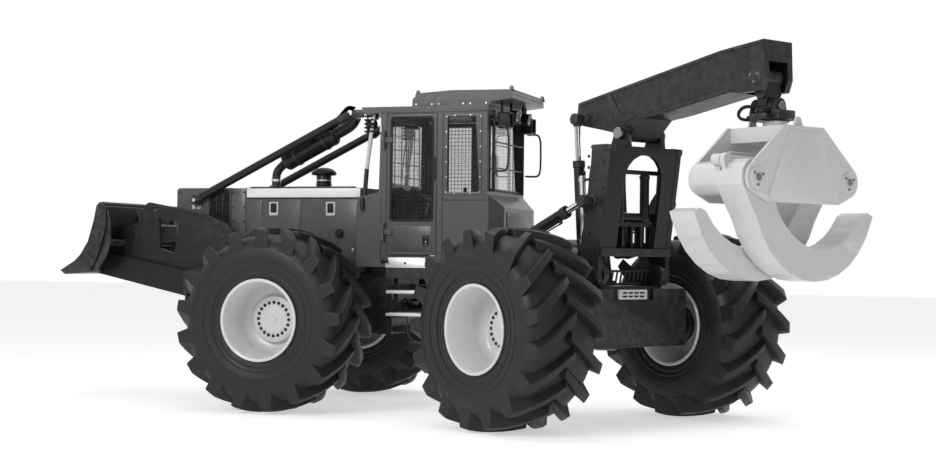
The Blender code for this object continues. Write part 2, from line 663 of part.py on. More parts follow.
def make_precleaner():
    profile = [(0, 2.65), (0.10, 2.63), (0.145, 2.585), (0.135, 2.565), (0.085, 2.56), (0.085, HOOD_TOP + SEAT),
               (0, HOOD_TOP + SEAT)]
    return turned(profile, (1.86, 0.20, 0), (0, 0, 1), 16)


def make_step(side):
    """Entry steps: a hanger off the cab's floor edge with two treads."""
    inner, outer = sorted((side * 0.50, side * 0.86))
    top = CAB_BOTTOM - SEAT
    tread = box((0.34, inner, top - 0.12), (0.83, outer, top))
    post_in, post_out = sorted((side * 0.62, side * 0.66))
    posts = [box((x, post_in, 1.02), (x + 0.05, post_out, top - 0.05)) for x in (0.36, 0.76)]
    low_in, low_out = sorted((side * 0.55, side * 0.86))
    lower = [box((0.35, low_in, z), (0.82, low_out, z + 0.03)) for z in (1.02, 1.26)]
    return join(tread, *posts, *lower)


# ================================ blade ===================================================
def make_blade():
    """Mouldboard, two push arms and two upper plates in one weldment."""
    face = [(4.137, 2.182), (4.211, 2.234), (4.256, 2.194), (4.293, 2.02), (4.363, 1.789), (4.46, 1.637),
            (4.534, 1.567), (4.72, 1.456), (4.657, 1.414), (4.344, 1.436), (4.25, 1.60), (4.17, 1.82), (4.133, 1.975)]
    w = BLADE_HALF_WIDTH
    body = prism(face, "Y", -w, w)
    px, pz = BLADE_PIVOT
    arm = wrap(circle((px, pz), 0.12, 14) + [(3.30, 1.20), (3.30, 1.46)])
    beam = [(3.25, 1.18), (4.45, 1.436), (4.40, 1.69), (3.25, 1.46)]
    cuts = []
    parts = []
    for side in (-1, 1):
        inner, outer = sorted((side * ARM_INSIDE, side * (ARM_INSIDE + ARM_THICKNESS)))
        parts += [prism(arm, "Y", inner, outer), prism(beam, "Y", inner + 0.002, outer - 0.002)]
        tower = wrap([(3.958, 1.97), (4.02, 1.60), (3.00, 1.40), (2.70, 1.62), (2.704, 1.886), (2.819, 2.009),
                      (3.047, 2.101), (3.43, 2.177), (3.80, 2.24)] + circle((3.78, 2.17), 0.07, 8, 0, 90))
        inner, outer = sorted((side * TOWER_INSIDE, side * (TOWER_INSIDE + TOWER_THICKNESS)))
        parts.append(prism(tower, "Y", inner, outer))
        cuts.append(prism(wrap([(3.40, 2.02), (3.66, 2.06), (3.64, 1.72), (3.46, 1.66)]), "Y", inner - 0.02,
                          outer + 0.02))
        cuts.append(prism(wrap(circle((3.70, 2.16), 0.02, 8) + circle((3.73, 2.168), 0.02, 8)), "Y", inner - 0.02,
                          outer + 0.02))
        ear_in, ear_out = sorted((side * (BLADE_CYLINDER_Y + 0.05 + CLEAR), side * (ARM_INSIDE + 0.01)))
        ex, ez = BLADE_EYE
        parts.append(bar((ex, ear_in, ez), (ex, ear_out, ez), 0.055, 14))
        back = [(3.95, 1.98), (4.14, 1.98), (4.20, 1.78), (4.30, 1.62), (4.30, 1.55), (3.95, 1.50)]
        parts.append(prism(back, "Y", inner + 0.003, outer - 0.003))
    cross = box((3.92, -0.72, 1.80), (4.02, 0.72, 1.96))
    body = join(body, cross, *parts)
    body = cut(body, *cuts)
    for side in (-1, 1):
        body = bore(body, (px, side * (ARM_INSIDE + ARM_THICKNESS / 2), pz), (0, 1, 0), BLADE_PIN_RADIUS, 0.2)
    return body


# ================================ rear half ===============================================
def make_rear_frame():
    a, b = -AXLE_X + AXLE_ARCH_HALF, -AXLE_X - AXLE_ARCH_HALF
    top, end = REAR_FRAME_TOP, REAR_FRAME_END
    outline = [(-HITCH_FACE, FRAME_BOTTOM), (-HITCH_FACE, top), (end, top), (end, 0.86), (b, 0.86),
               (b, AXLE_ARCH_TOP), (a, AXLE_ARCH_TOP), (a, FRAME_BOTTOM)]
    body, right = frame_sides(outline)
    inner = FRAME_HALF_WIDTH - FRAME_WALL + 0.01
    wall = FRAME_WALL / 2
    lower, upper = HITCH_LOWER_Z, HITCH_UPPER_Z
    gap = CLEAR
    parts = [right,
             box((end, -inner, top - 0.05), (-HITCH_FACE, inner, top - 0.002)),
             box((-HITCH_FACE - 0.05, -inner, FRAME_BOTTOM + 0.002), (-HITCH_FACE - 0.002, inner, top - 0.01)),
             box((a - wall, -inner, FRAME_BOTTOM + 0.003), (a + wall, inner, top - 0.02)),
             box((b - wall, -inner, 0.863), (b + wall, inner, top - 0.02)),
             box((a, -inner, FRAME_BOTTOM + 0.004), (-HITCH_FACE - 0.03, inner, FRAME_BOTTOM + 0.03)),
             box((end - 0.04, -BUTT_HALF_WIDTH, BUTT_Z[0]), (end + 0.004, BUTT_HALF_WIDTH, BUTT_Z[1])),
             hitch_plate(-1, lower[0] - gap - HITCH_PLATE, lower[0] - gap, 0.30),
             hitch_plate(-1, upper[1] + gap, upper[1] + gap + HITCH_PLATE, 0.30),
             box((-HITCH_FACE - 0.04, -0.30, lower[0] - gap - HITCH_PLATE + 0.002),
                 (-HITCH_FACE - 0.004, 0.30, upper[1] + gap + HITCH_PLATE - 0.002)),
             bar((0, 0, lower[0] - gap - 0.01), (0, 0, lower[1] + 0.01), HITCH_PIN_RADIUS, PIN_SIDES),
             bar((0, 0, upper[0] - 0.01), (0, 0, upper[1] + gap + 0.01), HITCH_PIN_RADIUS, PIN_SIDES)]
    px, pz = ARCH_PIVOT
    for side in (-1, 1):
        ear = wrap(circle((px, pz), 0.11, 14) + [(end + 0.02, top - 0.04), (px + 0.34, top - 0.04)])
        inner_y, outer_y = sorted((side * (ARCH_INSIDE - CLEAR - 0.06), side * (ARCH_INSIDE - CLEAR)))
        parts.append(prism(ear, "Y", inner_y, outer_y))
        parts.append(bar((px, side * 0.40, pz), (px, side * (ARCH_OUTSIDE + 0.02), pz), ARCH_PIN_RADIUS, PIN_SIDES))
        bx, bz = ARCH_BASE
        tower = [(bx - 0.20, 1.20), (bx + 0.16, 1.20), (bx + 0.07, bz + 0.03), (bx, bz + 0.07), (bx - 0.07, bz + 0.03)]
        inner_y, outer_y = sorted((side * (FRAME_HALF_WIDTH - 0.02), side * (FRAME_HALF_WIDTH + 0.06)))
        parts.append(prism(wrap(tower), "Y", inner_y, outer_y))
        reach = side * (ARCH_CYLINDER_Y - 0.05 - CLEAR)
        parts.append(bar((bx, side * 0.42, bz), (bx, reach, bz), 0.06, 14))
        parts.append(bar((bx, side * 0.45, bz), (bx, side * (ARCH_CYLINDER_Y + 0.06), bz), 0.03, PIN_SIDES))
    body = join(body, *parts)
    for side in (-1, 1):
        x, y = STEER_EYE
        inner_y, outer_y = sorted((side * 0.12, side * 0.20))
        horn = wrap([(-HITCH_FACE - 0.02, 0.93), (-HITCH_FACE - 0.02, 1.23), (-0.40, 1.15), (-0.40, 1.01)])
        body = join(body, prism(horn, "Y", inner_y, outer_y))
    notch = box((end - 0.1, -0.28, BUTT_Z[1] - 0.11), (end - 0.01, 0.28, BUTT_Z[1] + 0.1))
    return cut(body, notch, bar((-HITCH_FACE - 0.1, 0, STEER_Z), (-HITCH_FACE + 0.1, 0, STEER_Z), SHAFT_HOLE, 20))


def make_winch():
    """Winch frame on the rear deck: two cheeks with a bearing each."""
    top = REAR_FRAME_TOP + SEAT
    body = box((-1.66, -0.38, top), (-1.18, 0.38, top + 0.04))
    for side in (-1, 1):
        inner, outer = sorted((side * 0.31, side * 0.37))
        cheek = wrap(circle((-1.42, 1.68), 0.17, 14) + [(-1.64, top + 0.01), (-1.20, top + 0.01)])
        body = join(body, prism(cheek, "Y", inner, outer))
    return bore(body, (-1.42, 0, 1.68), (0, 1, 0), 0.05, 0.5)


def make_winch_drum():
    profile = [(0, 0.37), (0.05, 0.37), (0.05, 0.304), (0.20, 0.304), (0.20, 0.28), (0.12, 0.28)]
    profile += [(r, -h) for r, h in profile[::-1]]
    return turned(profile, (-1.42, 0, 1.68), (0, 1, 0), PIN_SIDES)


def make_arch():
    px, pz = ARCH_PIVOT
    front = [(-2.20, ARCH_TOP - 0.01), (-2.17, 2.33), (-2.10, 2.25), (-2.06, 2.18), (-2.12, 2.08), (-2.06, 1.86),
             (-2.06, 1.66)]
    foot = circle((px, pz), 0.11, 8, 40, -140)
    side_plate = front + foot + [(-2.308, 1.70), (-2.464, ARCH_TOP - 0.01)]
    left = prism(side_plate, "Y", ARCH_INSIDE, ARCH_OUTSIDE)
    right = mirrored(left)
    rear = prism([(-2.460, ARCH_TOP - 0.02), (-2.42, ARCH_TOP - 0.02), (-2.266, 1.72), (-2.306, 1.72)],
                 "Y", -0.49, 0.49)
    window = prism([(-0.265, 1.60), (0.265, 1.60), (0.265, 2.42)] + circle((0, 2.42), 0.265, 9, 15, 165)
                   + [(-0.265, 2.42)], "X", -2.8, -1.9)
    rear = cut(rear, window)
    roof = box((-2.462, -0.49, ARCH_TOP - 0.06), (-2.20, 0.49, ARCH_TOP))
    sill = box((-2.34, -0.49, 1.68), (-2.24, 0.49, 1.76))
    tie = bar((-2.10, -0.48, 1.76), (-2.10, 0.48, 1.76), 0.05, 14)
    body = join(left, right, rear, roof, sill, tie)
    bx, bz = BOOM_PIVOT
    fx, fz = BOOM_BASE
    parts = []
    for side in (-1, 1):
        ear = wrap(circle((bx, bz), 0.085, 14) + [(bx - 0.10, ARCH_TOP - 0.02), (bx + 0.15, ARCH_TOP - 0.02)])
        inner, outer = sorted((side * (BOOM_HALF_WIDTH + CLEAR), side * (BOOM_HALF_WIDTH + CLEAR + 0.06)))
        parts.append(prism(ear, "Y", inner, outer))
        for offset in (-0.085, 0.055):
            low, high = sorted((side * (BOOM_CYLINDER_Y + offset), side * (BOOM_CYLINDER_Y + offset + 0.03)))
            lug = wrap(circle((fx, fz), 0.065, 12) + circle((-2.10, 1.76), 0.048, 8))
            parts.append(prism(lug, "Y", low, high))
        reach = (side * (BOOM_CYLINDER_Y - 0.08), side * (BOOM_CYLINDER_Y + 0.08))
        parts.append(bar((fx, reach[0], fz), (fx, reach[1], fz), 0.03, PIN_SIDES))
    parts.append(bar((bx, -0.30, bz), (bx, 0.30, bz), BOOM_PIN_RADIUS, PIN_SIDES))
    body = join(body, *parts)
    for side in (-1, 1):
        middle = side * (ARCH_INSIDE + ARCH_OUTSIDE) / 2
        body = bore(body, (px, middle, pz), (0, 1, 0), ARCH_PIN_RADIUS, 0.1)
    return body


def make_fairlead():
    """Cable guide: upright rollers, a cross roller and the bar grate under them."""
    half = ARCH_INSIDE - SEAT
    body = box((-2.30, -half, 1.98), (-2.22, half, 2.02))
    parts = [box((-2.30, -half, 2.50), (-2.22, half, 2.54)),
             box((-2.225, -0.42, 1.78), (-2.195, 0.42, 1.82)),
             bar((-2.24, -half + 0.01, 2.07), (-2.24, half - 0.01, 2.07), 0.045, 12)]
    for y in (-0.18, 0.18):
        parts.append(bar((-2.26, y, 2.0), (-2.26, y, 2.52), 0.045, 12))
    for i in range(7):
        y = -0.39 + 0.13 * i
        parts.append(box((-2.27, y - 0.012, 1.775), (-2.21, y + 0.012, 2.0)))
    for y in (-0.41, 0.41):
        parts.append(box((-2.29, y - 0.02, 1.99), (-2.24, y + 0.02, 2.51)))
    return join(body, *parts)


# ================================ boom and grapple ========================================
def make_boom():
    bx, bz = BOOM_PIVOT
    top = [(-1.69, 3.232), (-3.579, 3.594), (-4.086, 3.654)]
    tail = [(-4.10, 3.30), (-4.06, 3.19), (-3.80, 3.185), (-3.693, 3.197)]
    under = [(-2.869, 3.057), (-2.605, 3.025)] + circle((bx, bz), 0.075, 8, 240, 360)
    nose = [(-2.055, 2.938), (-1.722, 3.005), (-1.670, 3.081)]
    w = BOOM_HALF_WIDTH
    body = prism(top + tail + under + nose, "Y", -w, w)
    slot = box((-4.3, -0.13, 3.0), (-3.70, 0.13, 3.46))
    body = cut(body, slot)
    body = bore(body, (bx, 0, bz), (0, 1, 0), BOOM_PIN_RADIUS, 0.4)
    pin = Vector((HANG_X + 0.08, 0, CROSS_PIN_Z))
    return join(body, bar(pin - Vector((0, 0.16, 0)), pin + Vector((0, 0.16, 0)), 0.035, PIN_SIDES))


def make_crosshead():
    """Links the boom's cross pin to the sideways swing pin below it."""
    x = HANG_X + 0.08
    upper = bar((x, -0.11, CROSS_PIN_Z), (x, 0.11, CROSS_PIN_Z), 0.08, 14)
    neck = prism(wrap([(x - 0.07, CROSS_PIN_Z), (x + 0.07, CROSS_PIN_Z), (x + 0.05, SWING_PIN_Z),
                       (x - 0.05, SWING_PIN_Z)]), "Y", -0.09, 0.09)
    lower = bar((x - 0.10, 0, SWING_PIN_Z), (x + 0.10, 0, SWING_PIN_Z), 0.08, 14)
    body = join(upper, neck, lower)
    body = bore(body, (x, 0, CROSS_PIN_Z), (0, 1, 0), 0.035, 0.3)
    return bore(body, (x, 0, SWING_PIN_Z), (1, 0, 0), 0.035, 0.3)


def make_hanger():
    """Clevis on the swing pin, carrying the rotator."""
    x = HANG_X + 0.08
    parts = []
    for side in (-1, 1):
        inner, outer = sorted((x + side * (0.10 + CLEAR), x + side * (0.10 + CLEAR + 0.04)))
        cheek = wrap(circle((0, SWING_PIN_Z), 0.075, 14) + [(-0.10, 2.955), (0.10, 2.955)])
        parts.append(prism(cheek, "X", inner, outer))
    block = box((x - 0.145, -0.13, ROTATOR_Z[0] + 0.06), (x + 0.145, 0.13, ROTATOR_Z[1] - 0.01))
    pin = bar((x - 0.13, 0, SWING_PIN_Z), (x + 0.13, 0, SWING_PIN_Z), 0.035, PIN_SIDES)
    spigot = bar((HANG_X, 0, ROTATOR_Z[0] - 0.10), (HANG_X, 0, ROTATOR_Z[1] - 0.02), 0.06, PIN_SIDES)
    return join(block, *parts, pin, spigot)


def head_plate_outline():
    y, z = GRAPPLE_PIVOT_Y, GRAPPLE_PIVOT_Z
    return wrap(circle((y, z), 0.14, 16) + circle((-y, z), 0.14, 16)
                + [(0.27, HEAD_TOP), (-0.27, HEAD_TOP), (0.50, z - 0.21), (-0.50, z - 0.21)])


def make_grapple_head():
    """Two side plates, a top box with the rotator's bearing and the two tong pins."""
    outline = head_plate_outline()
    near = prism(outline, "X", HANG_X - HEAD_HALF_DEPTH - HEAD_PLATE, HANG_X - HEAD_HALF_DEPTH)
    far = prism(outline, "X", HANG_X + HEAD_HALF_DEPTH, HANG_X + HEAD_HALF_DEPTH + HEAD_PLATE)
    reach = HEAD_HALF_DEPTH + 0.01
    lid = box((HANG_X - reach, -0.25, HEAD_TOP - 0.14), (HANG_X + reach, 0.25, HEAD_TOP - 0.002))
    bearing = bar((HANG_X, 0, HEAD_TOP - 0.05), (HANG_X, 0, ROTATOR_Z[0] + 0.06 - CLEAR), 0.11, 16)
    pins = []
    for side in (-1, 1):
        out = HEAD_HALF_DEPTH + HEAD_PLATE + 0.012
        y = side * GRAPPLE_PIVOT_Y
        pins.append(bar((HANG_X - out, y, GRAPPLE_PIVOT_Z), (HANG_X + out, y, GRAPPLE_PIVOT_Z), TONG_PIN_RADIUS, PIN_SIDES))
    body = join(near, far, lid, bearing, *pins)
    return bore(body, (HANG_X, 0, HEAD_TOP - 0.02), (0, 0, 1), 0.06, 0.25)


def make_tong(side):
    """side +1 pivots on the left and its arm lies in the near half of the head's depth."""
    y, z = GRAPPLE_PIVOT_Y, GRAPPLE_PIVOT_Z
    outer = circle((-0.86, -0.03), 0.88, 14, -10, -158)
    inner = circle((-0.94, 0.11), 0.73, 12, -146, -22)
    tip = [(-1.70, -0.30), (-1.62, -0.27)]
    arm = [(y + u, z + v) for u, v in outer + tip + inner]
    boss = [(y + u, z + v) for u, v in
            wrap(circle((0, 0), TONG_TUBE_RADIUS, 16) + outer[:2] + inner[-2:])]
    horn = [(y + u, z + v) for u, v in
            wrap(circle(HORN, 0.06, 12) + circle((0, 0), 0.10, 12))]
    half = HEAD_HALF_DEPTH - CLEAR
    near, middle = HANG_X - half, HANG_X - CLEAR
    eye = 0.055 + CLEAR
    shape = prism(arm, "X", near + 0.003, middle - 0.003)
    pivot_tube = bar((near + 0.004, y, z), (HANG_X + half, y, z), TONG_TUBE_RADIUS - 0.015, 18)
    gap = box((HANG_X - eye, y - 0.30, z + 0.06), (HANG_X + eye, y + 0.3, z + 0.30))
    shape = join(shape, prism(boss, "X", near, middle), pivot_tube)
    shape = cut(shape, gap)
    shape = join(shape, prism(horn, "X", HANG_X - eye - 0.05, HANG_X - eye - 0.001))
    shape = bore(shape, (HANG_X, y, z), (1, 0, 0), TONG_PIN_RADIUS, 0.6)
    if side < 0:
        bm = bmesh.new()
        bm.from_mesh(shape.data)
        half_turn = Matrix.Translation((HANG_X, 0, 0)) @ Matrix.Rotation(math.pi, 4, "Z") \
            @ Matrix.Translation((-HANG_X, 0, 0))
        bmesh.ops.transform(bm, matrix=half_turn, verts=bm.verts)
        bpy.data.objects.remove(shape)
        return as_object(bm)
    pin_y, pin_z = y + HORN[0], z + HORN[1]
    return join(shape, bar((HANG_X - eye - 0.04, pin_y, pin_z), (HANG_X + eye - 0.01, pin_y, pin_z), 0.025, PIN_SIDES))


# ================================ assembly ================================================
def build_front(front):
    piece("front_frame", make_front_frame(), "frame", front)
    piece("front_axle", make_axle(1), "frame", front)
    piece("engine_block", box((ENGINE_X[0], -ENGINE_HALF_WIDTH, FRONT_FRAME_TOP - 0.002 + SEAT),
                              (ENGINE_X[1], ENGINE_HALF_WIDTH, ENGINE_TOP)), "frame", front)
    piece("hood", make_hood(), "body", front)
    piece("engine_panel_left", make_engine_panel(1), "body", front)
    piece("engine_panel_right", make_engine_panel(-1), "body", front)
    piece("radiator_housing", make_radiator_housing(), "body", front)
    piece("cab_shell", make_cab_shell(), "body", front)
    piece("cab_roof", make_roof(), "body", front)
    piece("windshield", make_windshield(), "glass", front)
    piece("rear_window", make_rear_window(), "glass", front)
    piece("cab_interior", make_cab_interior(), "frame", front)
    piece("seat", make_seat(), "seat", front)
    piece("muffler", make_muffler(), "frame", front)
    piece("precleaner", make_precleaner(), "frame", front)
    for side, label in ((1, "left"), (-1, "right")):
        piece(f"deflector_{label}", make_deflector(side), "frame", front)
        piece(f"step_{label}", make_step(side), "steel", front)
        hinge = joint(f"door_{label}_axis", (DOOR_HINGE_X, side * (CAB_HALF_WIDTH + DOOR_HINGE_OUT), 0), front)
        piece(f"door_{label}", make_door(side), "body", hinge)
        make_wheel(f"front_{label}", 1, side, front)


def build_blade(front):
    lift = joint("blade_axis", (BLADE_PIVOT[0], 0, BLADE_PIVOT[1]), front)
    piece("blade", make_blade(), "frame", lift)
    barrels = joint("blade_barrel_axis", (BLADE_BASE[0], 0, BLADE_BASE[1]), front)
    rods = joint("blade_rod_axis", (BLADE_EYE[0], 0, BLADE_EYE[1]), barrels)
    for side, label in ((1, "left"), (-1, "right")):
        base = (BLADE_BASE[0], side * BLADE_CYLINDER_Y, BLADE_BASE[1])
        tip = (BLADE_EYE[0], side * BLADE_CYLINDER_Y, BLADE_EYE[1])
        piece(f"blade_barrel_{label}", barrel(base, tip, 0.59, 0.05, 0.03, 0.06, 0.09, (0, 1, 0), 0.03), "frame", barrels)
        piece(f"blade_rod_{label}", rod(base, tip, 0.53, 0.03, 0.055, 0.09, (0, 1, 0)), "chrome", rods)


def build_steering(front):
    """Cylinder eyes on the rear half are found in the front half's frame, at rest."""
    turn = Matrix.Rotation(-ARTICULATION, 3, "Z")
    for side, label in ((1, "left"), (-1, "right")):
        base = Vector((STEER_BASE[0], side * STEER_BASE[1], STEER_Z))
        tip = turn @ Vector((STEER_EYE[0], side * STEER_EYE[1], STEER_Z))
        barrels = joint(f"steer_{label}_axis", base, front)
        rods = joint(f"steer_rod_{label}_axis", tip, barrels)
        inner_end = {1: 0.35, -1: 0.62}[side]
        piece(f"steer_barrel_{label}", barrel(base, tip, 0.86, 0.05, 0.03, 0.06, 0.11, (0, 0, 1), 0.03), "frame", barrels)
        piece(f"steer_rod_{label}", rod(base, tip, inner_end, 0.03, 0.055, 0.11, (0, 0, 1)), "chrome", rods)


def build_rear(rear):
    piece("rear_frame", make_rear_frame(), "frame", rear)
    piece("rear_axle", make_axle(-1), "frame", rear)
    piece("winch", make_winch(), "frame", rear)
    drum = joint("winch_drum_axis", (-1.42, 0, 1.68), rear)
    piece("winch_drum", make_winch_drum(), "steel", drum)
    for side, label in ((1, "left"), (-1, "right")):
        make_wheel(f"rear_{label}", -1, side, rear)
    arch = joint("arch_axis", (ARCH_PIVOT[0], 0, ARCH_PIVOT[1]), rear)
    piece("arch", make_arch(), "frame", arch)
    piece("fairlead", make_fairlead(), "frame", arch)
    barrels = joint("arch_barrel_axis", (ARCH_BASE[0], 0, ARCH_BASE[1]), rear)
    rods = joint("arch_rod_axis", (ARCH_EYE[0], 0, ARCH_EYE[1]), barrels)
    for side, label in ((1, "left"), (-1, "right")):
        base = (ARCH_BASE[0], side * ARCH_CYLINDER_Y, ARCH_BASE[1])
        tip = (ARCH_EYE[0], side * ARCH_CYLINDER_Y, ARCH_EYE[1])
        piece(f"arch_barrel_{label}", barrel(base, tip, 0.88, 0.055, 0.032, 0.065, 0.10, (0, 1, 0), 0.03), "frame", barrels)
        piece(f"arch_rod_{label}", rod(base, tip, 0.32, 0.032, 0.06, 0.10, (0, 1, 0)), "chrome", rods)
    return arch


def build_boom(arch):
    boom = joint("boom_axis", (BOOM_PIVOT[0], 0, BOOM_PIVOT[1]), arch)
    piece("boom", make_boom(), "frame", boom)
    barrels = joint("boom_barrel_axis", (BOOM_BASE[0], 0, BOOM_BASE[1]), arch)
    rods = joint("boom_rod_axis", (BOOM_EYE[0], 0, BOOM_EYE[1]), barrels)
    for side, label in ((1, "left"), (-1, "right")):
        base = (BOOM_BASE[0], side * BOOM_CYLINDER_Y, BOOM_BASE[1])
        tip = (BOOM_EYE[0], side * BOOM_CYLINDER_Y, BOOM_EYE[1])
        piece(f"boom_barrel_{label}", barrel(base, tip, 0.92, 0.055, 0.03, 0.06, 0.098, (0, 1, 0), 0.03), "frame", barrels)
        piece(f"boom_rod_{label}", rod(base, tip, 0.55, 0.03, 0.06, 0.13, (0, 1, 0)), "chrome", rods)
    return boom


def build_grapple(boom):
    x = HANG_X + 0.08
    cross = joint("crosshead_axis", (x, 0, CROSS_PIN_Z), boom)
    piece("crosshead", make_crosshead(), "frame", cross)
    swing = joint("hanger_axis", (x, 0, SWING_PIN_Z), cross)
    piece("hanger", make_hanger(), "frame", swing)
    head = joint("grapple_axis", (HANG_X, 0, HEAD_TOP), swing)
    piece("grapple_head", make_grapple_head(), "light", head)
    y, z = GRAPPLE_PIVOT_Y, GRAPPLE_PIVOT_Z
    left = joint("tong_left_axis", (HANG_X, y, z), head)
    right = joint("tong_right_axis", (HANG_X, -y, z), head)
    piece("tong_left", make_tong(1), "light", left)
    piece("tong_right", make_tong(-1), "light", right)
    base = Vector((HANG_X, y + HORN[0], z + HORN[1]))
    tip = Vector((HANG_X, -y - HORN[0], z + HORN[1]))
    barrels = joint("grapple_barrel_axis", base, left)
    rods = joint("grapple_rod_axis", tip, barrels)
    piece("grapple_barrel", barrel(base, tip, 0.84, 0.052, 0.03, 0.052, 0.10, (1, 0, 0), 0.025), "light", barrels)
    piece("grapple_rod", rod(base, tip, 0.74, 0.03, 0.05, 0.10, (1, 0, 0)), "chrome", rods)


def centre_on_ground(machine):
    """Moves the whole machine so that the middle of its footprint is the origin."""
    bpy.context.view_layer.update()
    corners = [body.matrix_world @ v.co for body in MACHINE.objects if body.type == "MESH"
               for v in body.data.vertices]
    low = [min(c[i] for c in corners) for i in range(3)]
    high = [max(c[i] for c in corners) for i in range(3)]
    machine.location = (-(low[0] + high[0]) / 2, -(low[1] + high[1]) / 2, -low[2])


for old in list(bpy.data.objects):
    bpy.data.objects.remove(old)

MACHINE = collection("grapple_skidder")
WORKBENCH = collection("workbench")
FINISH = {
    "body": material("body_paint", (0.095, 0.095, 0.095), 0.45),
    "frame": material("frame_paint", (0.018, 0.018, 0.018), 0.5),
    "light": material("grapple_paint", (0.68, 0.68, 0.68), 0.45),
    "rim": material("rim_paint", (0.80, 0.80, 0.80), 0.4),
    "tyre": material("tyre_rubber", (0.02, 0.02, 0.02), 0.8),
    "steel": material("plain_steel", (0.45, 0.45, 0.45), 0.35, 1.0),
    "chrome": material("chromed_rod", (0.8, 0.8, 0.8), 0.12, 1.0),
    "seat": material("seat_fabric", (0.03, 0.03, 0.03), 0.9),
    "glass": material("window_glass", (0.8, 0.85, 0.85), 0.05),
}

origin = joint("machine", (0, 0, 0), None)
front_half = joint("front_half", (0, 0, 0), origin)
rear_half = joint("rear_half", (0, 0, 0), origin)
rear_half.rotation_euler = (0, 0, -ARTICULATION)

build_front(front_half)
build_blade(front_half)
build_steering(front_half)
build_grapple(build_boom(build_rear(rear_half)))
centre_on_ground(origin)
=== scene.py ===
"""Grapple skidder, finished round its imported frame.

Metres, +Z up.  Pieces are drawn in the frame of the half they belong to: X forward from
the articulation pivot, Y to the machine's left, Z up from the ground.
"""
import json
import math

import bmesh
import bpy
from mathutils import Matrix, Vector


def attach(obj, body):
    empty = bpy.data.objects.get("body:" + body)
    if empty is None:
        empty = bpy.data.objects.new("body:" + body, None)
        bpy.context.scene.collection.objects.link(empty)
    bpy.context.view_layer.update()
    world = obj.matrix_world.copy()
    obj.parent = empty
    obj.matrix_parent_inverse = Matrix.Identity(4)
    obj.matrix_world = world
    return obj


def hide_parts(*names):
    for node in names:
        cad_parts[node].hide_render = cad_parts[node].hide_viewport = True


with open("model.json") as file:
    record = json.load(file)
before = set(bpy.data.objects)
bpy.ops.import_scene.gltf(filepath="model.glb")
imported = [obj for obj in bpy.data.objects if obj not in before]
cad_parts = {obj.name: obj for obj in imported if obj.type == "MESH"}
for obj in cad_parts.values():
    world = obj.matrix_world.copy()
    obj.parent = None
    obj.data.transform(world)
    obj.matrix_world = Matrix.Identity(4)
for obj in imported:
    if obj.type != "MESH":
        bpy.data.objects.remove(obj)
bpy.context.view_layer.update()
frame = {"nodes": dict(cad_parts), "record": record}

# ---- where the two halves stand -----------------------------------------------------
BEHAVIOUR = frame["record"]["behaviour"]
JOINTS = {joint["name"]: joint for joint in BEHAVIOUR["joints"]}
STEERING = JOINTS["steering"]
TURNED = math.radians(sum(STEERING["range_deg"]) / 2)
FRONT = Matrix.Translation(STEERING["pos_m"])
REAR = FRONT @ Matrix.Rotation(-TURNED, 4, "Z")
REAR_BODIES = {"rear", "rear_left", "rear_right", "winch_drum", "arch", "arch_barrel", "arch_rod", "boom",
               "boom_barrel", "boom_rod", "crosshead", "hanger", "grapple", "tong_left", "tong_right",
               "grapple_barrel", "grapple_rod"}

# ---- driving sizes, as the frame has them ------------------------------------------------
AXLE_X, AXLE_Z, TRACK_HALF = 1.898, 0.975, 1.334
SIDE_Y = 0.55                # engine panels' outer face
CAB_Y = 0.66                 # cab sides' outer face
DOOR_X, DOOR_Z = (0.33, 0.905), (1.67, 3.20)
DOOR_WINDOW_X, DOOR_WINDOW_Z = (0.378, 0.853), (2.05, 3.157)
SIDE_WINDOW_X, SIDE_WINDOW_Z = (-0.13, 0.205), (2.35, 3.16)
REAR_GLASS_X = -0.24
HANG_X = -4.06
GRAPPLE_PIVOT = (0.64, 2.38)
LUGS = 17                    # tread bars on each side of a tyre


# ================================ working helpers ==========================================
def deselect():
    for other in bpy.context.selected_objects:
        other.select_set(False)


def pick(body):
    deselect()
    body.select_set(True)
    bpy.context.view_layer.objects.active = body


def modify(body, kind, **settings):
    """Adds a modifier and applies it."""
    pick(body)
    bpy.ops.object.modifier_add(type=kind)
    change = body.modifiers[-1]
    for key, value in settings.items():
        setattr(change, key, value)
    bpy.ops.object.modifier_apply(modifier=change.name)
    return body


def soften(body, width, segments=2, angle=30):
    if width:
        modify(body, "BEVEL", width=width, segments=segments, limit_method="ANGLE",
               angle_limit=math.radians(angle), use_clamp_overlap=True)
    return body


def block(low, high, round_off=0.004, segments=2):
    deselect()
    middle = [(a + b) / 2 for a, b in zip(low, high)]
    bpy.ops.mesh.primitive_cube_add(size=1, location=middle)
    body = bpy.context.object
    body.scale = [abs(b - a) for a, b in zip(low, high)]
    bpy.ops.object.transform_apply(location=True, rotation=False, scale=True)
    return soften(body, round_off, segments)


def plate(outline, across, low, high, round_off=0.003, segments=2):
    """An outline drawn in the plane across one axis, extruded from low to high."""
    deselect()
    bpy.ops.mesh.primitive_circle_add(vertices=len(outline), fill_type="NGON")
    body = bpy.context.object
    for vertex, (u, v) in zip(body.data.vertices, outline):
        vertex.co = {"X": (low, u, v), "Y": (u, low, v), "Z": (u, v, low)}[across]
    rise = [high - low if axis == across else 0 for axis in "XYZ"]
    bpy.ops.object.mode_set(mode="EDIT")
    bpy.ops.mesh.select_all(action="SELECT")
    bpy.ops.mesh.extrude_region_move(TRANSFORM_OT_translate={"value": rise})
    bpy.ops.mesh.select_all(action="SELECT")
    bpy.ops.mesh.normals_make_consistent(inside=False)
    bpy.ops.object.mode_set(mode="OBJECT")
    return soften(body, round_off, segments)


def aim(body, start, direction):
    """Stands a shape made along +Z at the origin on a point, along a direction."""
    turn = Vector(direction).to_track_quat("Z", "Y").to_matrix().to_4x4()
    body.data.transform(Matrix.Translation(start) @ turn)
    return body


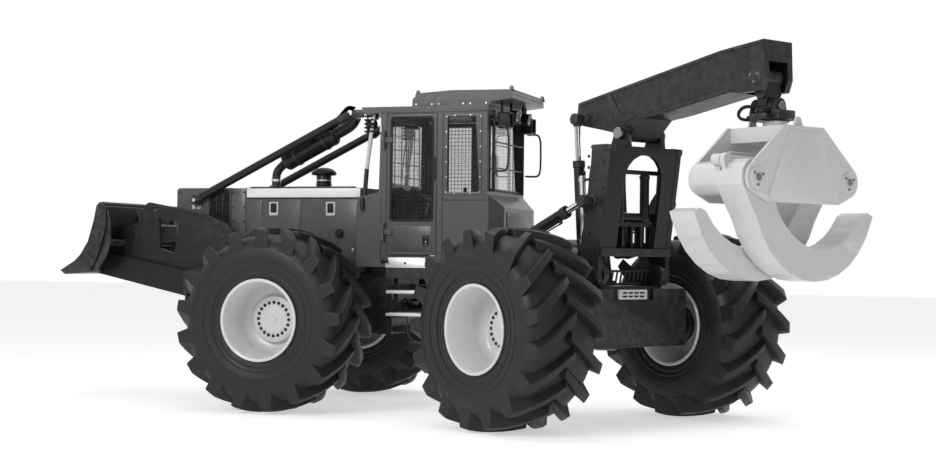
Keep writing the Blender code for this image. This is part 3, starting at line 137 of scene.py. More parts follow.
def lathe(profile, start, direction, steps=48):
    """Spins a profile of (radius, distance along the axis)."""
    deselect()
    bpy.ops.mesh.primitive_circle_add(vertices=len(profile), fill_type="NOTHING")
    body = bpy.context.object
    for vertex, (radius, along) in zip(body.data.vertices, profile):
        vertex.co = (radius, 0, along)
    if profile[0][0] == 0:
        bm = bmesh.new()
        bm.from_mesh(body.data)
        closing = [e for e in bm.edges if all(v.co.x == 0 for v in e.verts)]
        bmesh.ops.delete(bm, geom=closing, context="EDGES")
        bm.to_mesh(body.data)
        bm.free()
    bpy.ops.object.mode_set(mode="EDIT")
    bpy.ops.mesh.select_all(action="SELECT")
    bpy.ops.mesh.spin(steps=steps, angle=math.tau, center=(0, 0, 0), axis=(0, 0, 1))
    bpy.ops.mesh.select_all(action="SELECT")
    bpy.ops.mesh.remove_doubles(threshold=0.00005)
    bpy.ops.mesh.normals_make_consistent(inside=False)
    bpy.ops.object.mode_set(mode="OBJECT")
    return aim(body, start, direction)


def rod(start, end, radius, edge=0.003, steps=32, collars=()):
    """A turned bar with eased ends; collars are (from, to, radius) along it."""
    start, end = Vector(start), Vector(end)
    length = (end - start).length
    profile = [(0, length), (radius - edge, length), (radius, length - edge)]
    for low, high, size in sorted(collars, reverse=True):
        profile += [(radius, high), (size - edge / 2, high), (size, high - edge / 2), (size, low + edge / 2),
                    (size - edge / 2, low), (radius, low)]
    profile += [(radius, edge), (radius - edge, 0), (0, 0)]
    return lathe(profile, start, end - start, steps)


def pipe(points, radius, resolution=4, smooth=True):
    """A bent pipe or hose through the points."""
    curve = bpy.data.curves.new("pipe", "CURVE")
    curve.dimensions = "3D"
    curve.bevel_depth = radius
    curve.bevel_resolution = resolution
    curve.use_fill_caps = True
    spline = curve.splines.new("NURBS" if smooth else "POLY")
    spline.points.add(len(points) - 1)
    for knot, place in zip(spline.points, points):
        knot.co = (*place, 1)
    if smooth:
        spline.order_u = 3
        spline.use_endpoint_u = True
        spline.resolution_u = 6
    body = bpy.data.objects.new("pipe", curve)
    bpy.context.scene.collection.objects.link(body)
    pick(body)
    bpy.ops.object.convert(target="MESH")
    return bpy.context.object


def join(*parts):
    deselect()
    for part in parts:
        part.select_set(True)
    bpy.context.view_layer.objects.active = parts[0]
    if len(parts) > 1:
        bpy.ops.object.join()
    return bpy.context.view_layer.objects.active


def repeat(body, places):
    """One mesh with a copy of the shape at each placement."""
    bm = bmesh.new()
    for place in places:
        before = len(bm.verts)
        bm.from_mesh(body.data)
        bm.verts.ensure_lookup_table()
        bmesh.ops.transform(bm, matrix=place, verts=bm.verts[before:])
    bm.to_mesh(body.data)
    bm.free()
    return body


def both_sides(body):
    """Adds the mirror image across the centre line."""
    return modify(body, "MIRROR", use_axis=(False, True, False), use_mirror_merge=False)


def bolts(places, direction, size=0.014):
    """Hexagon heads on washers, standing on a face."""
    deselect()
    bpy.ops.mesh.primitive_cylinder_add(vertices=6, radius=size, depth=size * 0.9,
                                        location=(0, 0, size * 0.65))
    head = bpy.context.object
    bpy.ops.object.transform_apply(location=True, rotation=False, scale=False)
    soften(head, size * 0.12, 1)
    bpy.ops.mesh.primitive_cylinder_add(vertices=16, radius=size * 1.35, depth=size * 0.3,
                                        location=(0, 0, size * 0.15))
    washer = bpy.context.object
    bpy.ops.object.transform_apply(location=True, rotation=False, scale=False)
    head = join(head, washer)
    turn = Vector(direction).to_track_quat("Z", "Y").to_matrix().to_4x4()
    return repeat(head, [Matrix.Translation(place) @ turn for place in places])


def row(start, end, count):
    start, end = Vector(start), Vector(end)
    return [start.lerp(end, i / (count - 1)) for i in range(count)]


def ring(centre, radius, count=16, first=0.0, last=360.0):
    steps = count if abs(last - first) >= 360 else count - 1
    angles = [math.radians(first + (last - first) * i / steps) for i in range(count)]
    return [(centre[0] + radius * math.cos(a), centre[1] + radius * math.sin(a)) for a in angles]


def rounded(low, high, radius, count=5):
    """A rectangle with rounded corners, as an outline."""
    corners = [((high[0] - radius, high[1] - radius), 0), ((low[0] + radius, high[1] - radius), 90),
               ((low[0] + radius, low[1] + radius), 180), ((high[0] - radius, low[1] + radius), 270)]
    return [point for centre, first in corners for point in ring(centre, radius, count, first, first + 90)]


def framed(low, high, inset, radius, across, start, end, round_off=0.002):
    """A flat frame with rounded corners and a matching opening."""
    outer = plate(rounded(low, high, radius), across, start, end, 0)
    grow = abs(end - start) + 0.01
    inner_low = [a + inset for a in low]
    inner_high = [a - inset for a in high]
    tool = plate(rounded(inner_low, inner_high, max(radius - inset, 0.006)), across,
                 min(start, end) - grow, max(start, end) + grow, 0)
    modify(outer, "BOOLEAN", operation="DIFFERENCE", object=tool, solver="EXACT")
    bpy.data.objects.remove(tool)
    return soften(outer, round_off, 2)


def fit(body, name, rides, finish, smooth=35, stands_for=()):
    """Names a piece, paints it and hangs it on its body."""
    body.name = body.data.name = name
    body.data.transform(REAR if rides in REAR_BODIES else FRONT)
    body.data.materials.clear()
    body.data.materials.append(FINISH[finish])
    pick(body)
    bpy.ops.object.shade_smooth_by_angle(angle=math.radians(smooth))
    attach(body, rides)
    if stands_for:
        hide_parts(*stands_for)
    return body


# ================================ finishes ==================================================
def group(name, inputs, outputs):
    tree = bpy.data.node_groups.new(name, "ShaderNodeTree")
    for label, kind, default in inputs:
        socket = tree.interface.new_socket(name=label, in_out="INPUT", socket_type=kind)
        socket.default_value = default
    for label, kind in outputs:
        tree.interface.new_socket(name=label, in_out="OUTPUT", socket_type=kind)
    return tree, tree.nodes.new("NodeGroupInput"), tree.nodes.new("NodeGroupOutput")


def node(tree, kind, **values):
    made = tree.nodes.new(kind)
    for key, value in values.items():
        setattr(made, key, value)
    return made


def noise(tree, coordinates, scale, detail=4.0, roughness=0.55):
    made = tree.nodes.new("ShaderNodeTexNoise")
    made.inputs["Detail"].default_value = detail
    made.inputs["Roughness"].default_value = roughness
    tree.links.new(coordinates, made.inputs["Vector"])
    if isinstance(scale, (int, float)):
        made.inputs["Scale"].default_value = scale
    else:
        tree.links.new(scale, made.inputs["Scale"])
    return made.outputs["Fac"]


def ranged(tree, value, low, high, to_low=0.0, to_high=1.0):
    made = tree.nodes.new("ShaderNodeMapRange")
    tree.links.new(value, made.inputs["Value"])
    for label, number in (("From Min", low), ("From Max", high), ("To Min", to_low), ("To Max", to_high)):
        made.inputs[label].default_value = number
    return made.outputs["Result"]


def maths(tree, operation, first, second):
    made = node(tree, "ShaderNodeMath", operation=operation)
    for socket, value in zip(made.inputs, (first, second)):
        if isinstance(value, (int, float)):
            socket.default_value = value
        else:
            tree.links.new(value, socket)
    return made.outputs[0]


def blended(tree, factor, first, second, blend="MIX"):
    made = node(tree, "ShaderNodeMix", data_type="RGBA", blend_type=blend)
    for socket, value in ((made.inputs["Factor"], factor), (made.inputs["A"], first),
                          (made.inputs["B"], second)):
        if isinstance(value, (int, float)):
            socket.default_value = value
        elif isinstance(value, tuple):
            socket.default_value = value
        else:
            tree.links.new(value, socket)
    return made.outputs["Result"]


def weathering_group():
    """Uneven colour, dust that thickens towards the ground, and fine grain."""
    tree, given, result = group(
        "weathering",
        [("Color", "NodeSocketColor", (0.1, 0.1, 0.1, 1)),
         ("Dust Color", "NodeSocketColor", (0.2, 0.19, 0.18, 1)),
         ("Dust", "NodeSocketFloat", 0.3), ("Dust Height", "NodeSocketFloat", 1.6),
         ("Grain Scale", "NodeSocketFloat", 220.0), ("Roughness", "NodeSocketFloat", 0.4)],
        [("Color", "NodeSocketColor"), ("Roughness", "NodeSocketFloat"), ("Height", "NodeSocketFloat")])
    place = tree.nodes.new("ShaderNodeTexCoord").outputs["Object"]
    clouds = noise(tree, place, 2.2, 5.0)
    patches = noise(tree, place, 9.0, 8.0, 0.65)
    grain = noise(tree, place, given.outputs["Grain Scale"], 3.0)
    split = tree.nodes.new("ShaderNodeSeparateXYZ")
    tree.links.new(place, split.inputs[0])
    low = maths(tree, "DIVIDE", split.outputs["Z"], given.outputs["Dust Height"])
    near_ground = ranged(tree, low, 1.0, 0.0)
    broken = ranged(tree, patches, 0.40, 0.66)
    dust = maths(tree, "MULTIPLY", maths(tree, "MULTIPLY", near_ground, broken), given.outputs["Dust"])
    faded = blended(tree, ranged(tree, clouds, 0.3, 0.7, 0.0, 0.22), given.outputs["Color"],
                    (0.5, 0.5, 0.5, 1), "SOFT_LIGHT")
    colour = blended(tree, dust, faded, given.outputs["Dust Color"])
    tree.links.new(colour, result.inputs["Color"])
    uneven = ranged(tree, patches, 0.3, 0.7, -0.05, 0.08)
    rough = maths(tree, "ADD", maths(tree, "ADD", given.outputs["Roughness"], uneven),
                  maths(tree, "MULTIPLY", dust, 0.4))
    tree.links.new(rough, result.inputs["Roughness"])
    tree.links.new(grain, result.inputs["Height"])
    return tree


def edge_wear_group():
    """Where paint has rubbed through: on outward edges and in scattered scuffs."""
    tree, given, result = group(
        "edge_wear", [("Amount", "NodeSocketFloat", 0.5), ("Scale", "NodeSocketFloat", 14.0)],
        [("Mask", "NodeSocketFloat")])
    place = tree.nodes.new("ShaderNodeTexCoord").outputs["Object"]
    scratch = noise(tree, place, given.outputs["Scale"], 10.0, 0.7)
    edges = ranged(tree, tree.nodes.new("ShaderNodeNewGeometry").outputs["Pointiness"], 0.505, 0.56)
    worn = maths(tree, "MULTIPLY", edges, ranged(tree, scratch, 0.35, 0.6))
    scuffs = ranged(tree, scratch, 0.70, 0.76)
    both = maths(tree, "MAXIMUM", worn, scuffs)
    tree.links.new(maths(tree, "MULTIPLY", both, given.outputs["Amount"]), result.inputs["Mask"])
    return tree


def weave_group():
    """Crossing threads, for seat cloth."""
    tree, given, result = group("weave", [("Scale", "NodeSocketFloat", 400.0)],
                                [("Height", "NodeSocketFloat"), ("Tint", "NodeSocketFloat")])
    place = tree.nodes.new("ShaderNodeTexCoord").outputs["Object"]
    bands = []
    for direction in ("X", "Z"):
        wave = node(tree, "ShaderNodeTexWave", wave_type="BANDS", bands_direction=direction)
        tree.links.new(place, wave.inputs["Vector"])
        tree.links.new(given.outputs["Scale"], wave.inputs["Scale"])
        bands.append(wave.outputs["Fac"])
    threads = maths(tree, "MAXIMUM", bands[0], bands[1])
    tree.links.new(threads, result.inputs["Height"])
    tree.links.new(ranged(tree, threads, 0.0, 1.0, 0.7, 1.1), result.inputs["Tint"])
    return tree


WEATHERING = weathering_group()
EDGE_WEAR = edge_wear_group()
WEAVE = weave_group()


def placed_group(tree, made, **values):
    body = node(tree, "ShaderNodeGroup", node_tree=made)
    for label, value in values.items():
        body.inputs[label.replace("_", " ")].default_value = value
    return body


def empty_material(name):
    finish = bpy.data.materials.new(name)
    finish.use_nodes = True
    return finish, finish.node_tree, finish.node_tree.nodes["Principled BSDF"]


def bumped(tree, shader, height, strength, distance):
    bump = tree.nodes.new("ShaderNodeBump")
    bump.inputs["Strength"].default_value = strength
    bump.inputs["Distance"].default_value = distance
    tree.links.new(height, bump.inputs["Height"])
    tree.links.new(bump.outputs["Normal"], shader.inputs["Normal"])


def paint(name, grey, roughness, dust=0.3, dust_height=1.6, wear=0.0, coat=0.0, metallic=0.0, grain=220.0,
          bump=0.12, dust_grey=0.16, shine=0.3):
    """Painted or bare metal, rubber or plastic: a colour with weather over it."""
    finish, tree, shader = empty_material(name)
    grey = (grey, grey, grey) if isinstance(grey, float) else grey
    weather = placed_group(tree, WEATHERING, Color=(*grey, 1),
                           Dust_Color=(dust_grey, dust_grey, dust_grey, 1),
                           Dust=dust, Dust_Height=dust_height, Grain_Scale=grain, Roughness=roughness)
    colour = weather.outputs["Color"]
    if wear:
        rubbed = placed_group(tree, EDGE_WEAR, Amount=wear)
        colour = blended(tree, rubbed.outputs["Mask"], colour, (0.33, 0.33, 0.33, 1))
        tree.links.new(ranged(tree, rubbed.outputs["Mask"], 0.0, 1.0, metallic, 0.8),
                       shader.inputs["Metallic"])
    else:
        shader.inputs["Metallic"].default_value = metallic
    tree.links.new(colour, shader.inputs["Base Color"])
    tree.links.new(weather.outputs["Roughness"], shader.inputs["Roughness"])
    shader.inputs["Specular IOR Level"].default_value = 0.5 if metallic else shine
    shader.inputs["Coat Weight"].default_value = coat
    shader.inputs["Coat Roughness"].default_value = 0.12
    bumped(tree, shader, weather.outputs["Height"], bump, 0.002)
    return finish


def glass(name, tint, roughness=0.01):
    finish, tree, shader = empty_material(name)
    smear = noise(tree, tree.nodes.new("ShaderNodeTexCoord").outputs["Object"], 6.0, 6.0)
    tree.links.new(ranged(tree, smear, 0.45, 0.75, roughness, roughness + 0.06), shader.inputs["Roughness"])
    shader.inputs["Base Color"].default_value = (tint, tint, tint, 1)
    shader.inputs["Transmission Weight"].default_value = 1.0
    shader.inputs["IOR"].default_value = 1.45
    return finish


def cloth(name, grey):
    finish, tree, shader = empty_material(name)
    threads = placed_group(tree, WEAVE, Scale=180.0)
    mottle = noise(tree, tree.nodes.new("ShaderNodeTexCoord").outputs["Object"], 30.0, 6.0)
    shade = maths(tree, "MULTIPLY", threads.outputs["Tint"],
                  ranged(tree, mottle, 0.3, 0.7, grey * 0.8, grey * 1.3))
    joined = tree.nodes.new("ShaderNodeCombineColor")
    for socket in joined.inputs:
        tree.links.new(shade, socket)
    tree.links.new(joined.outputs[0], shader.inputs["Base Color"])
    tree.links.new(ranged(tree, mottle, 0.3, 0.7, 0.85, 0.98), shader.inputs["Roughness"])
    shader.inputs["Sheen Weight"].default_value = 0.4
    bumped(tree, shader, threads.outputs["Height"], 0.5, 0.001)
    return finish


FINISH = {
    "body": paint("body_paint_grey", 0.075, 0.34, dust=0.20, coat=0.12, bump=0.03, wear=0.08, dust_grey=0.10),
    "dark": paint("frame_paint_black", 0.0075, 0.40, dust=0.15, coat=0.08, bump=0.06, wear=0.10,
                  dust_grey=0.035),
    "blade": paint("blade_paint_black", 0.007, 0.38, dust=0.15, coat=0.08, bump=0.08, wear=0.16,
                   dust_grey=0.03),
    "light": paint("grapple_paint_pale", 0.58, 0.36, dust=0.10, coat=0.25, bump=0.04, wear=0.12,
                   dust_grey=0.4),
    "rim": paint("rim_paint_white", 0.60, 0.34, dust=0.25, coat=0.3, bump=0.04, wear=0.06, dust_grey=0.34),
    "stripe": paint("stripe_film_white", 0.78, 0.30, dust=0.05, bump=0.02),
    "tyre": paint("tyre_rubber_black", 0.0080, 0.48, dust=0.30, dust_height=2.0, grain=90.0, bump=0.22,
                  dust_grey=0.022,
                  shine=0.4),
    "rubber": paint("hose_rubber_black", 0.006, 0.5, dust=0.2, grain=300.0, bump=0.3, dust_grey=0.03),
    "plastic": paint("moulded_plastic_black", 0.007, 0.45, dust=0.2, grain=500.0, bump=0.3, dust_grey=0.03),
    "screen": paint("screen_wire_grey", 0.045, 0.45, dust=0.1, bump=0.1, dust_grey=0.2),
    "steel": paint("plain_steel_grey", 0.30, 0.34, dust=0.1, metallic=1.0, grain=140.0, bump=0.2,
                   dust_grey=0.12),
    "zinc": paint("zinc_plate_bright", 0.62, 0.30, dust=0.1, metallic=0.85, grain=260.0, bump=0.1,
                  dust_grey=0.3),
    "tread": paint("tread_plate_bright", 0.66, 0.38, dust=0.1, metallic=0.35, grain=120.0, bump=0.3,
                   dust_grey=0.3),
    "rope": paint("wire_rope_steel", 0.12, 0.40, dust=0.3, metallic=0.9, grain=400.0, bump=0.6,
                  dust_grey=0.06),
    "chrome": paint("rod_chrome", 0.72, 0.07, dust=0.0, metallic=1.0, grain=60.0, bump=0.01),
    "label": paint("blank_plate_pale", 0.55, 0.35, dust=0.1, bump=0.02, dust_grey=0.3),
    "mirror": paint("lamp_reflector", 0.85, 0.06, dust=0.0, metallic=1.0, bump=0.01),
    "glass": glass("window_glass_clear", 0.72),
    "lens": glass("lamp_lens_clear", 0.9, 0.03),
    "seat": cloth("seat_cloth_dark", 0.022),
}
NODE_FINISH = {"body_paint": "body", "frame_paint": "dark", "grapple_paint": "light", "rim_paint": "rim",
               "tyre_rubber": "tyre", "plain_steel": "steel", "chromed_rod": "chrome", "seat_fabric": "seat",
               "window_glass": "glass"}


def finish_nodes():
    """Every carried-over solid gets its paint and eased edges."""
    slots = {part["node"]: part["material_slot"] for part in frame["record"]["subparts"]}
    for name, body in frame["nodes"].items():
        finish = {"blade": "blade", "step_left": "dark", "step_right": "dark"}.get(name,
                                                                                   NODE_FINISH[slots[name]])
        body.data.materials.clear()
        body.data.materials.append(FINISH[finish])
        if body.hide_render or finish == "glass":
            continue
        weld = body.modifiers.new("weld", "WELD")
        weld.merge_threshold = 0.00002
        ease = body.modifiers.new("ease", "BEVEL")
        ease.width = 0.004
        ease.segments = 2
        ease.limit_method = "ANGLE"
        ease.angle_limit = math.radians(38)
        ease.harden_normals = False


# ================================ wheels ====================================================
CARCASS = [(0.0, 0.900), (0.15, 0.899), (0.27, 0.888), (0.335, 0.868), (0.385, 0.835), (0.418, 0.785),
           (0.434, 0.725), (0.438, 0.66), (0.432, 0.60), (0.415, 0.545), (0.398, 0.505), (0.402, 0.490),
           (0.396, 0.468), (0.386, 0.448), (0.384, 0.436)]
LUG_TOP = [(-0.035, 0.968), (0.08, 0.974), (0.18, 0.974), (0.27, 0.970), (0.34, 0.963), (0.395, 0.955),
           (0.432, 0.940)]
LUG_FOOT = [(-0.045, 0.890), (0.08, 0.888), (0.18, 0.885), (0.27, 0.875), (0.335, 0.850), (0.395, 0.805),
            (0.428, 0.755)]


def along(curve, share):
    """A point a share of the way along a list of points."""
    spot = min(share, 0.99999) * (len(curve) - 1)
    first, rest = int(spot), spot - int(spot)
    return [a + (b - a) * rest for a, b in zip(curve[first], curve[first + 1])]


def tread_bar():
    """One curved tread bar, leading at the tyre's centre line."""
    deselect()
    bpy.ops.mesh.primitive_cube_add(size=1)
    bar = bpy.context.object
    bpy.ops.object.mode_set(mode="EDIT")
    bpy.ops.mesh.select_all(action="SELECT")
    bpy.ops.mesh.subdivide(number_cuts=6)
    bpy.ops.object.mode_set(mode="OBJECT")
    for vertex in bar.data.vertices:
        share, side, height = vertex.co.x + 0.5, vertex.co.y * 2, vertex.co.z + 0.5
        top, foot = along(LUG_TOP, share), along(LUG_FOOT, share)
        y = foot[0] + (top[0] - foot[0]) * height
        radius = foot[1] + (top[1] - foot[1]) * height
        half = (0.066 + 0.020 * share) * (1 - height) + (0.036 + 0.022 * share) * height
        lead = -0.36 * (1 - (1 - share) ** 1.6)
        turn = lead + side * half / radius
        vertex.co = (radius * math.sin(turn), y, radius * math.cos(turn))
    return soften(bar, 0.007, 2, 42)


def make_tyre_mesh():
    loop = CARCASS + [(0.30, 0.424), (0.0, 0.420)]
    full = loop + [(-y, r) for y, r in loop[-2:0:-1]]
    carcass = lathe([(r, y) for y, r in full], (0, 0, 0), (0, 1, 0), 96)
    left = tread_bar()
    right = tread_bar()
    right.data.transform(Matrix.Diagonal((1, -1, 1, 1)))
    bm = bmesh.new()
    bm.from_mesh(right.data)
    bmesh.ops.reverse_faces(bm, faces=bm.faces)
    bm.to_mesh(right.data)
    bm.free()
    pitch = math.tau / LUGS
    repeat(left, [Matrix.Rotation(pitch * i, 4, "Y") for i in range(LUGS)])
    repeat(right, [Matrix.Rotation(pitch * (i + 0.5), 4, "Y") for i in range(LUGS)])
    ribs = [lathe([(r + 0.006, y - 0.004), (r + 0.006, y + 0.004), (r - 0.012, y + 0.004),
                   (r - 0.012, y - 0.004)],
                  (0, 0, 0), (0, 1, 0), 96) for r,
                  y in ((0.545, 0.416), (0.545, -0.416), (0.63, 0.435), (0.63, -0.435))]
    return join(carcass, left, right, *ribs)


def make_rim_mesh():
    """Flanges, drop centre, recessed disc and planetary hub, outer face to +Y."""
    shell = [(0, 0.030), (0.150, 0.030), (0.152, 0.027), (0.228, 0.027), (0.246, 0.018), (0.250, -0.018),
             (0.262, -0.030), (0.300, -0.022), (0.325, -0.004), (0.352, 0.030), (0.366, 0.075),
             (0.368, 0.150), (0.378, 0.170),
             (0.380, 0.300), (0.394, 0.330), (0.398, 0.392), (0.406, 0.404), (0.424, 0.409), (0.434, 0.404),
             (0.4345, 0.392), (0.424, 0.3860), (0.4095, 0.3855), (0.4090, 0.330), (0.400, 0.300),
             (0.395, 0.160),
             (0.395, -0.160), (0.409, -0.330), (0.4095, -0.3855), (0.424, -0.386), (0.4345, -0.392),
             (0.434, -0.404), (0.424, -0.409), (0.406, -0.404), (0.398, -0.392), (0.380, -0.30),
             (0.368, -0.10),
             (0.340, -0.04), (0.23, -0.05), (0.215, -0.06), (0.200, -0.19), (0.18, -0.198), (0, -0.198)]
    rim = lathe(shell, (0, 0, 0), (0, 1, 0), 72)
    cap = lathe([(0, 0.040), (0.028, 0.038), (0.034, 0.030), (0.034, 0.024), (0, 0.024)], (0, 0, 0),
                (0, 1, 0), 32)
    studs = bolts([(0, 0.027, 0)], (0, 1, 0), 0.0135)
    studs = repeat(studs, [Matrix.Rotation(math.tau * i / 20, 4, "Y") @ Matrix.Translation((0.178, 0, 0))
                           for i in range(20)])
    return rim, cap, studs


def add_wheels():
    tyre = make_tyre_mesh()
    rim, cap, studs = make_rim_mesh()
    rim = join(rim, cap)
    for end, end_name in ((1, "front"), (-1, "rear")):
        for side, side_name in ((1, "left"), (-1, "right")):
            label = f"{end_name}_{side_name}"
            place = Matrix.Translation((end * AXLE_X, side * TRACK_HALF, AXLE_Z)) @ Matrix.Rotation(0.3 * end,
                                                                                                    4, "Y")
            about = place @ Matrix.Rotation(0 if side > 0 else math.pi, 4, "Z")
            for source, name, finish, matrix in ((tyre, "tyre", "tyre", place), (rim, "rim", "rim", about),
                                                 (studs, "wheel_studs", "dark", about)):
                copy = source.copy()
                copy.data = source.data.copy()
                bpy.context.scene.collection.objects.link(copy)
                copy.data.transform(matrix)
                stands = (f"{name}_{label}",) if name != "wheel_studs" else ()
                fit(copy, f"{name}_{label}_finished", label, finish, 32, stands)
    for source in (tyre, rim, studs):
        bpy.data.objects.remove(source)


# ================================ hydraulic cylinders =======================================
def cylinder_pair(label, rides, base, tip, length, radius, rod_radius, inner, eye_width, axis, sides, finish,
                  nodes):
    """Smooth barrels and rods that stand for the plain ones, with glands, ports and eyes."""
    for part in ("barrel", "rod"):
        made = []
        for side in sides:
            start = Vector((base[0], side * base[1], base[2]))
            end = Vector((tip[0], side * tip[1], tip[2])) if len(sides) > 1 or side > 0 else Vector(tip)
            way = (end - start).normalized()
            across = Vector(axis)
            if part == "barrel":
                shape = [(0, length - 0.006), (rod_radius + 0.004, length - 0.006),
                         (rod_radius + 0.010, length),
                         (radius + 0.004, length), (radius + 0.008, length - 0.004),
                         (radius + 0.008, length - 0.062),
                         (radius + 0.004, length - 0.066), (radius, length - 0.070), (radius, 0.13),
                         (radius + 0.004, 0.126), (radius + 0.004, 0.105), (radius, 0.10),
                         (radius * 0.8, 0.062),
                         (radius * 0.6, 0.05), (0, 0.05)]
                made.append(lathe(shape, start, way, 40))
                made.append(rod(start - across * eye_width / 2, start + across * eye_width / 2,
                                radius + 0.006))
                drop = way.cross(across).normalized()
                for share in (0.17, 0.86):
                    root = start + way * length * share + drop * (radius - 0.004)
                    made.append(rod(root, root + drop * 0.030, 0.016, 0.002, 20, ((0.012, 0.024, 0.020),)))
                line = [start + way * length * s + drop * (radius + d)
                        for s, d in ((0.19, 0.024), (0.24, 0.020), (0.5, 0.018), (0.8, 0.018), (0.85, 0.026))]
                made.append(pipe(line, 0.008))
            else:
                made.append(rod(start + way * inner, end - way * rod_radius, rod_radius, 0.002, 40))
                made.append(rod(end - across * eye_width / 2, end + across * eye_width / 2, radius + 0.003))
                neck = end - way * (radius + 0.02)
                made.append(rod(neck, end - way * radius * 0.4, rod_radius + 0.012, 0.008, 32))
        if part == "barrel":
            fit(join(*made), f"{label}_barrels", rides[0], finish, 35, nodes[0])
        else:
            stems = join(*made[0::3])
            eyes = join(*[m for i, m in enumerate(made) if i % 3])
            fit(stems, f"{label}_rods", rides[1], "chrome", 40, nodes[1])
            fit(eyes, f"{label}_rod_eyes", rides[1], finish)


def add_cylinders():
    up, along_y = (0, 0, 1), (0, 1, 0)
    pair = (1, -1)
    cylinder_pair("blade_cylinder", ("blade_barrel", "blade_rod"), (2.75, 0.58, 0.95), (3.75, 0.58, 1.40),
                  0.59, 0.05,
                  0.03, 0.53, 0.09, along_y, pair, "dark",
                  (("blade_barrel_left", "blade_barrel_right"), ("blade_rod_left", "blade_rod_right")))
    back = Matrix.Rotation(-TURNED, 3, "Z")
    for side, name, inner in ((1, "left", 0.35), (-1, "right", 0.62)):
        tip = back @ Vector((-0.50, side * 0.30, 1.08))
        cylinder_pair(f"steer_cylinder_{name}", (f"steer_{name}", f"steer_rod_{name}"), (0.85, 0.36, 1.08),
                      tip,
                      0.86, 0.05, 0.03, inner, 0.11, up, (side,), "dark",
                      ((f"steer_barrel_{name}",), (f"steer_rod_{name}",)))
    cylinder_pair("arch_cylinder", ("arch_barrel", "arch_rod"), (-1.15, 0.60, 1.78), (-2.20, 0.60, 2.22),
                  0.88, 0.055,
                  0.032, 0.32, 0.10, along_y, pair, "dark",
                  (("arch_barrel_left", "arch_barrel_right"), ("arch_rod_left", "arch_rod_right")))
    cylinder_pair("boom_cylinder", ("boom_barrel", "boom_rod"), (-1.86, 0.285, 1.72), (-1.76, 0.285, 3.06),
                  0.92,
                  0.055, 0.03, 0.55, 0.098, along_y, pair, "dark",
                  (("boom_barrel_left", "boom_barrel_right"), ("boom_rod_left", "boom_rod_right")))
    y, z = GRAPPLE_PIVOT[0] + 0.12, GRAPPLE_PIVOT[1] + 0.16
    cylinder_pair("grapple_cylinder", ("grapple_barrel", "grapple_rod"), (HANG_X, y, z), (HANG_X, -y, z),
                  0.84, 0.048,
                  0.03, 0.74, 0.10, (1, 0, 0), (1,), "light", (("grapple_barrel",), ("grapple_rod",)))


# ================================ engine end ================================================
def add_hood_details():
    strips = block((1.262, SIDE_Y, 2.302), (2.648, SIDE_Y + 0.004, 2.402), 0.0015)
    fit(both_sides(strips), "hood_stripes", "front", "stripe")
    edge = block((1.262, SIDE_Y, 2.286), (2.648, SIDE_Y + 0.006, 2.300), 0.002)
    fit(both_sides(edge), "hood_stripe_edges", "front", "plastic")
    doors = []
    for low, high in ((1.285, 1.956), (1.976, 2.440)):
        doors.append(plate(rounded((low, 1.56), (high, 2.278), 0.03), "Y", SIDE_Y, SIDE_Y + 0.006, 0.002))
    doors.append(plate(rounded((2.452, 1.64), (2.648, 2.278), 0.03), "Y", SIDE_Y, SIDE_Y + 0.006, 0.002))
    doors.append(block((2.662, SIDE_Y, 1.66), (2.832, SIDE_Y + 0.010, 2.40), 0.004))
    fit(both_sides(join(*doors)), "engine_doors", "front", "body")
    latches = []
    for x in (1.34, 1.90, 2.03, 2.60):
        latches.append(lathe([(0, 0.012), (0.012, 0.011), (0.018, 0.006), (0.020, 0), (0, 0)],
                             (x, SIDE_Y + 0.006, 1.72), (0, 1, 0), 24))
        latches.append(block((x - 0.003, SIDE_Y + 0.016, 1.708), (x + 0.003, SIDE_Y + 0.021, 1.732), 0.001))
    fit(both_sides(join(*latches)), "engine_door_latches", "front", "zinc")
    labels = [plate(rounded((x - 0.055, 2.10), (x + 0.055, 2.25), 0.012), "Y", SIDE_Y + 0.006, SIDE_Y + 0.008,
                    0.0006)
              for x in (2.31, 1.615)]
    fit(both_sides(join(*labels)), "engine_door_plates", "front", "label")
    insets = [plate(rounded((x - 0.038, 2.13), (x + 0.038, 2.236), 0.008), "Y", SIDE_Y + 0.008,
                    SIDE_Y + 0.009, 0.0003)
              for x in (2.31, 1.615)]
    fit(both_sides(join(*insets)), "engine_door_plate_faces", "front", "plastic")
    filler = join(lathe([(0, 0.03), (0.028, 0.028), (0.034, 0.022), (0.034, 0), (0, 0)],
                        (1.50, SIDE_Y + 0.006, 1.90),
                        (0, 1, 0), 32),
                  lathe([(0.055, 0.010), (0.055, 0), (0.036, 0), (0.040, 0.010)],
                        (1.50, SIDE_Y + 0.006, 1.90),
                        (0, 1, 0), 40))
    fit(filler, "filler_cap", "front", "plastic")
    heads = row((2.68, SIDE_Y + 0.010, 1.70), (2.68, SIDE_Y + 0.010, 2.36), 5)
    heads += row((2.815, SIDE_Y + 0.010, 1.70), (2.815, SIDE_Y + 0.010, 2.36), 5)
    fit(both_sides(bolts(heads, (0, 1, 0), 0.009)), "engine_side_bolts", "front", "dark")
    lid = plate(rounded((1.36, -0.44), (2.74, 0.44), 0.05), "Z", 2.410, 2.416, 0.003)
    rails = [rod((1.40, y, 2.424), (2.70, y, 2.424), 0.008) for y in (-0.36, 0.36)]
    fit(join(lid, *rails), "hood_top_panel", "front", "body")


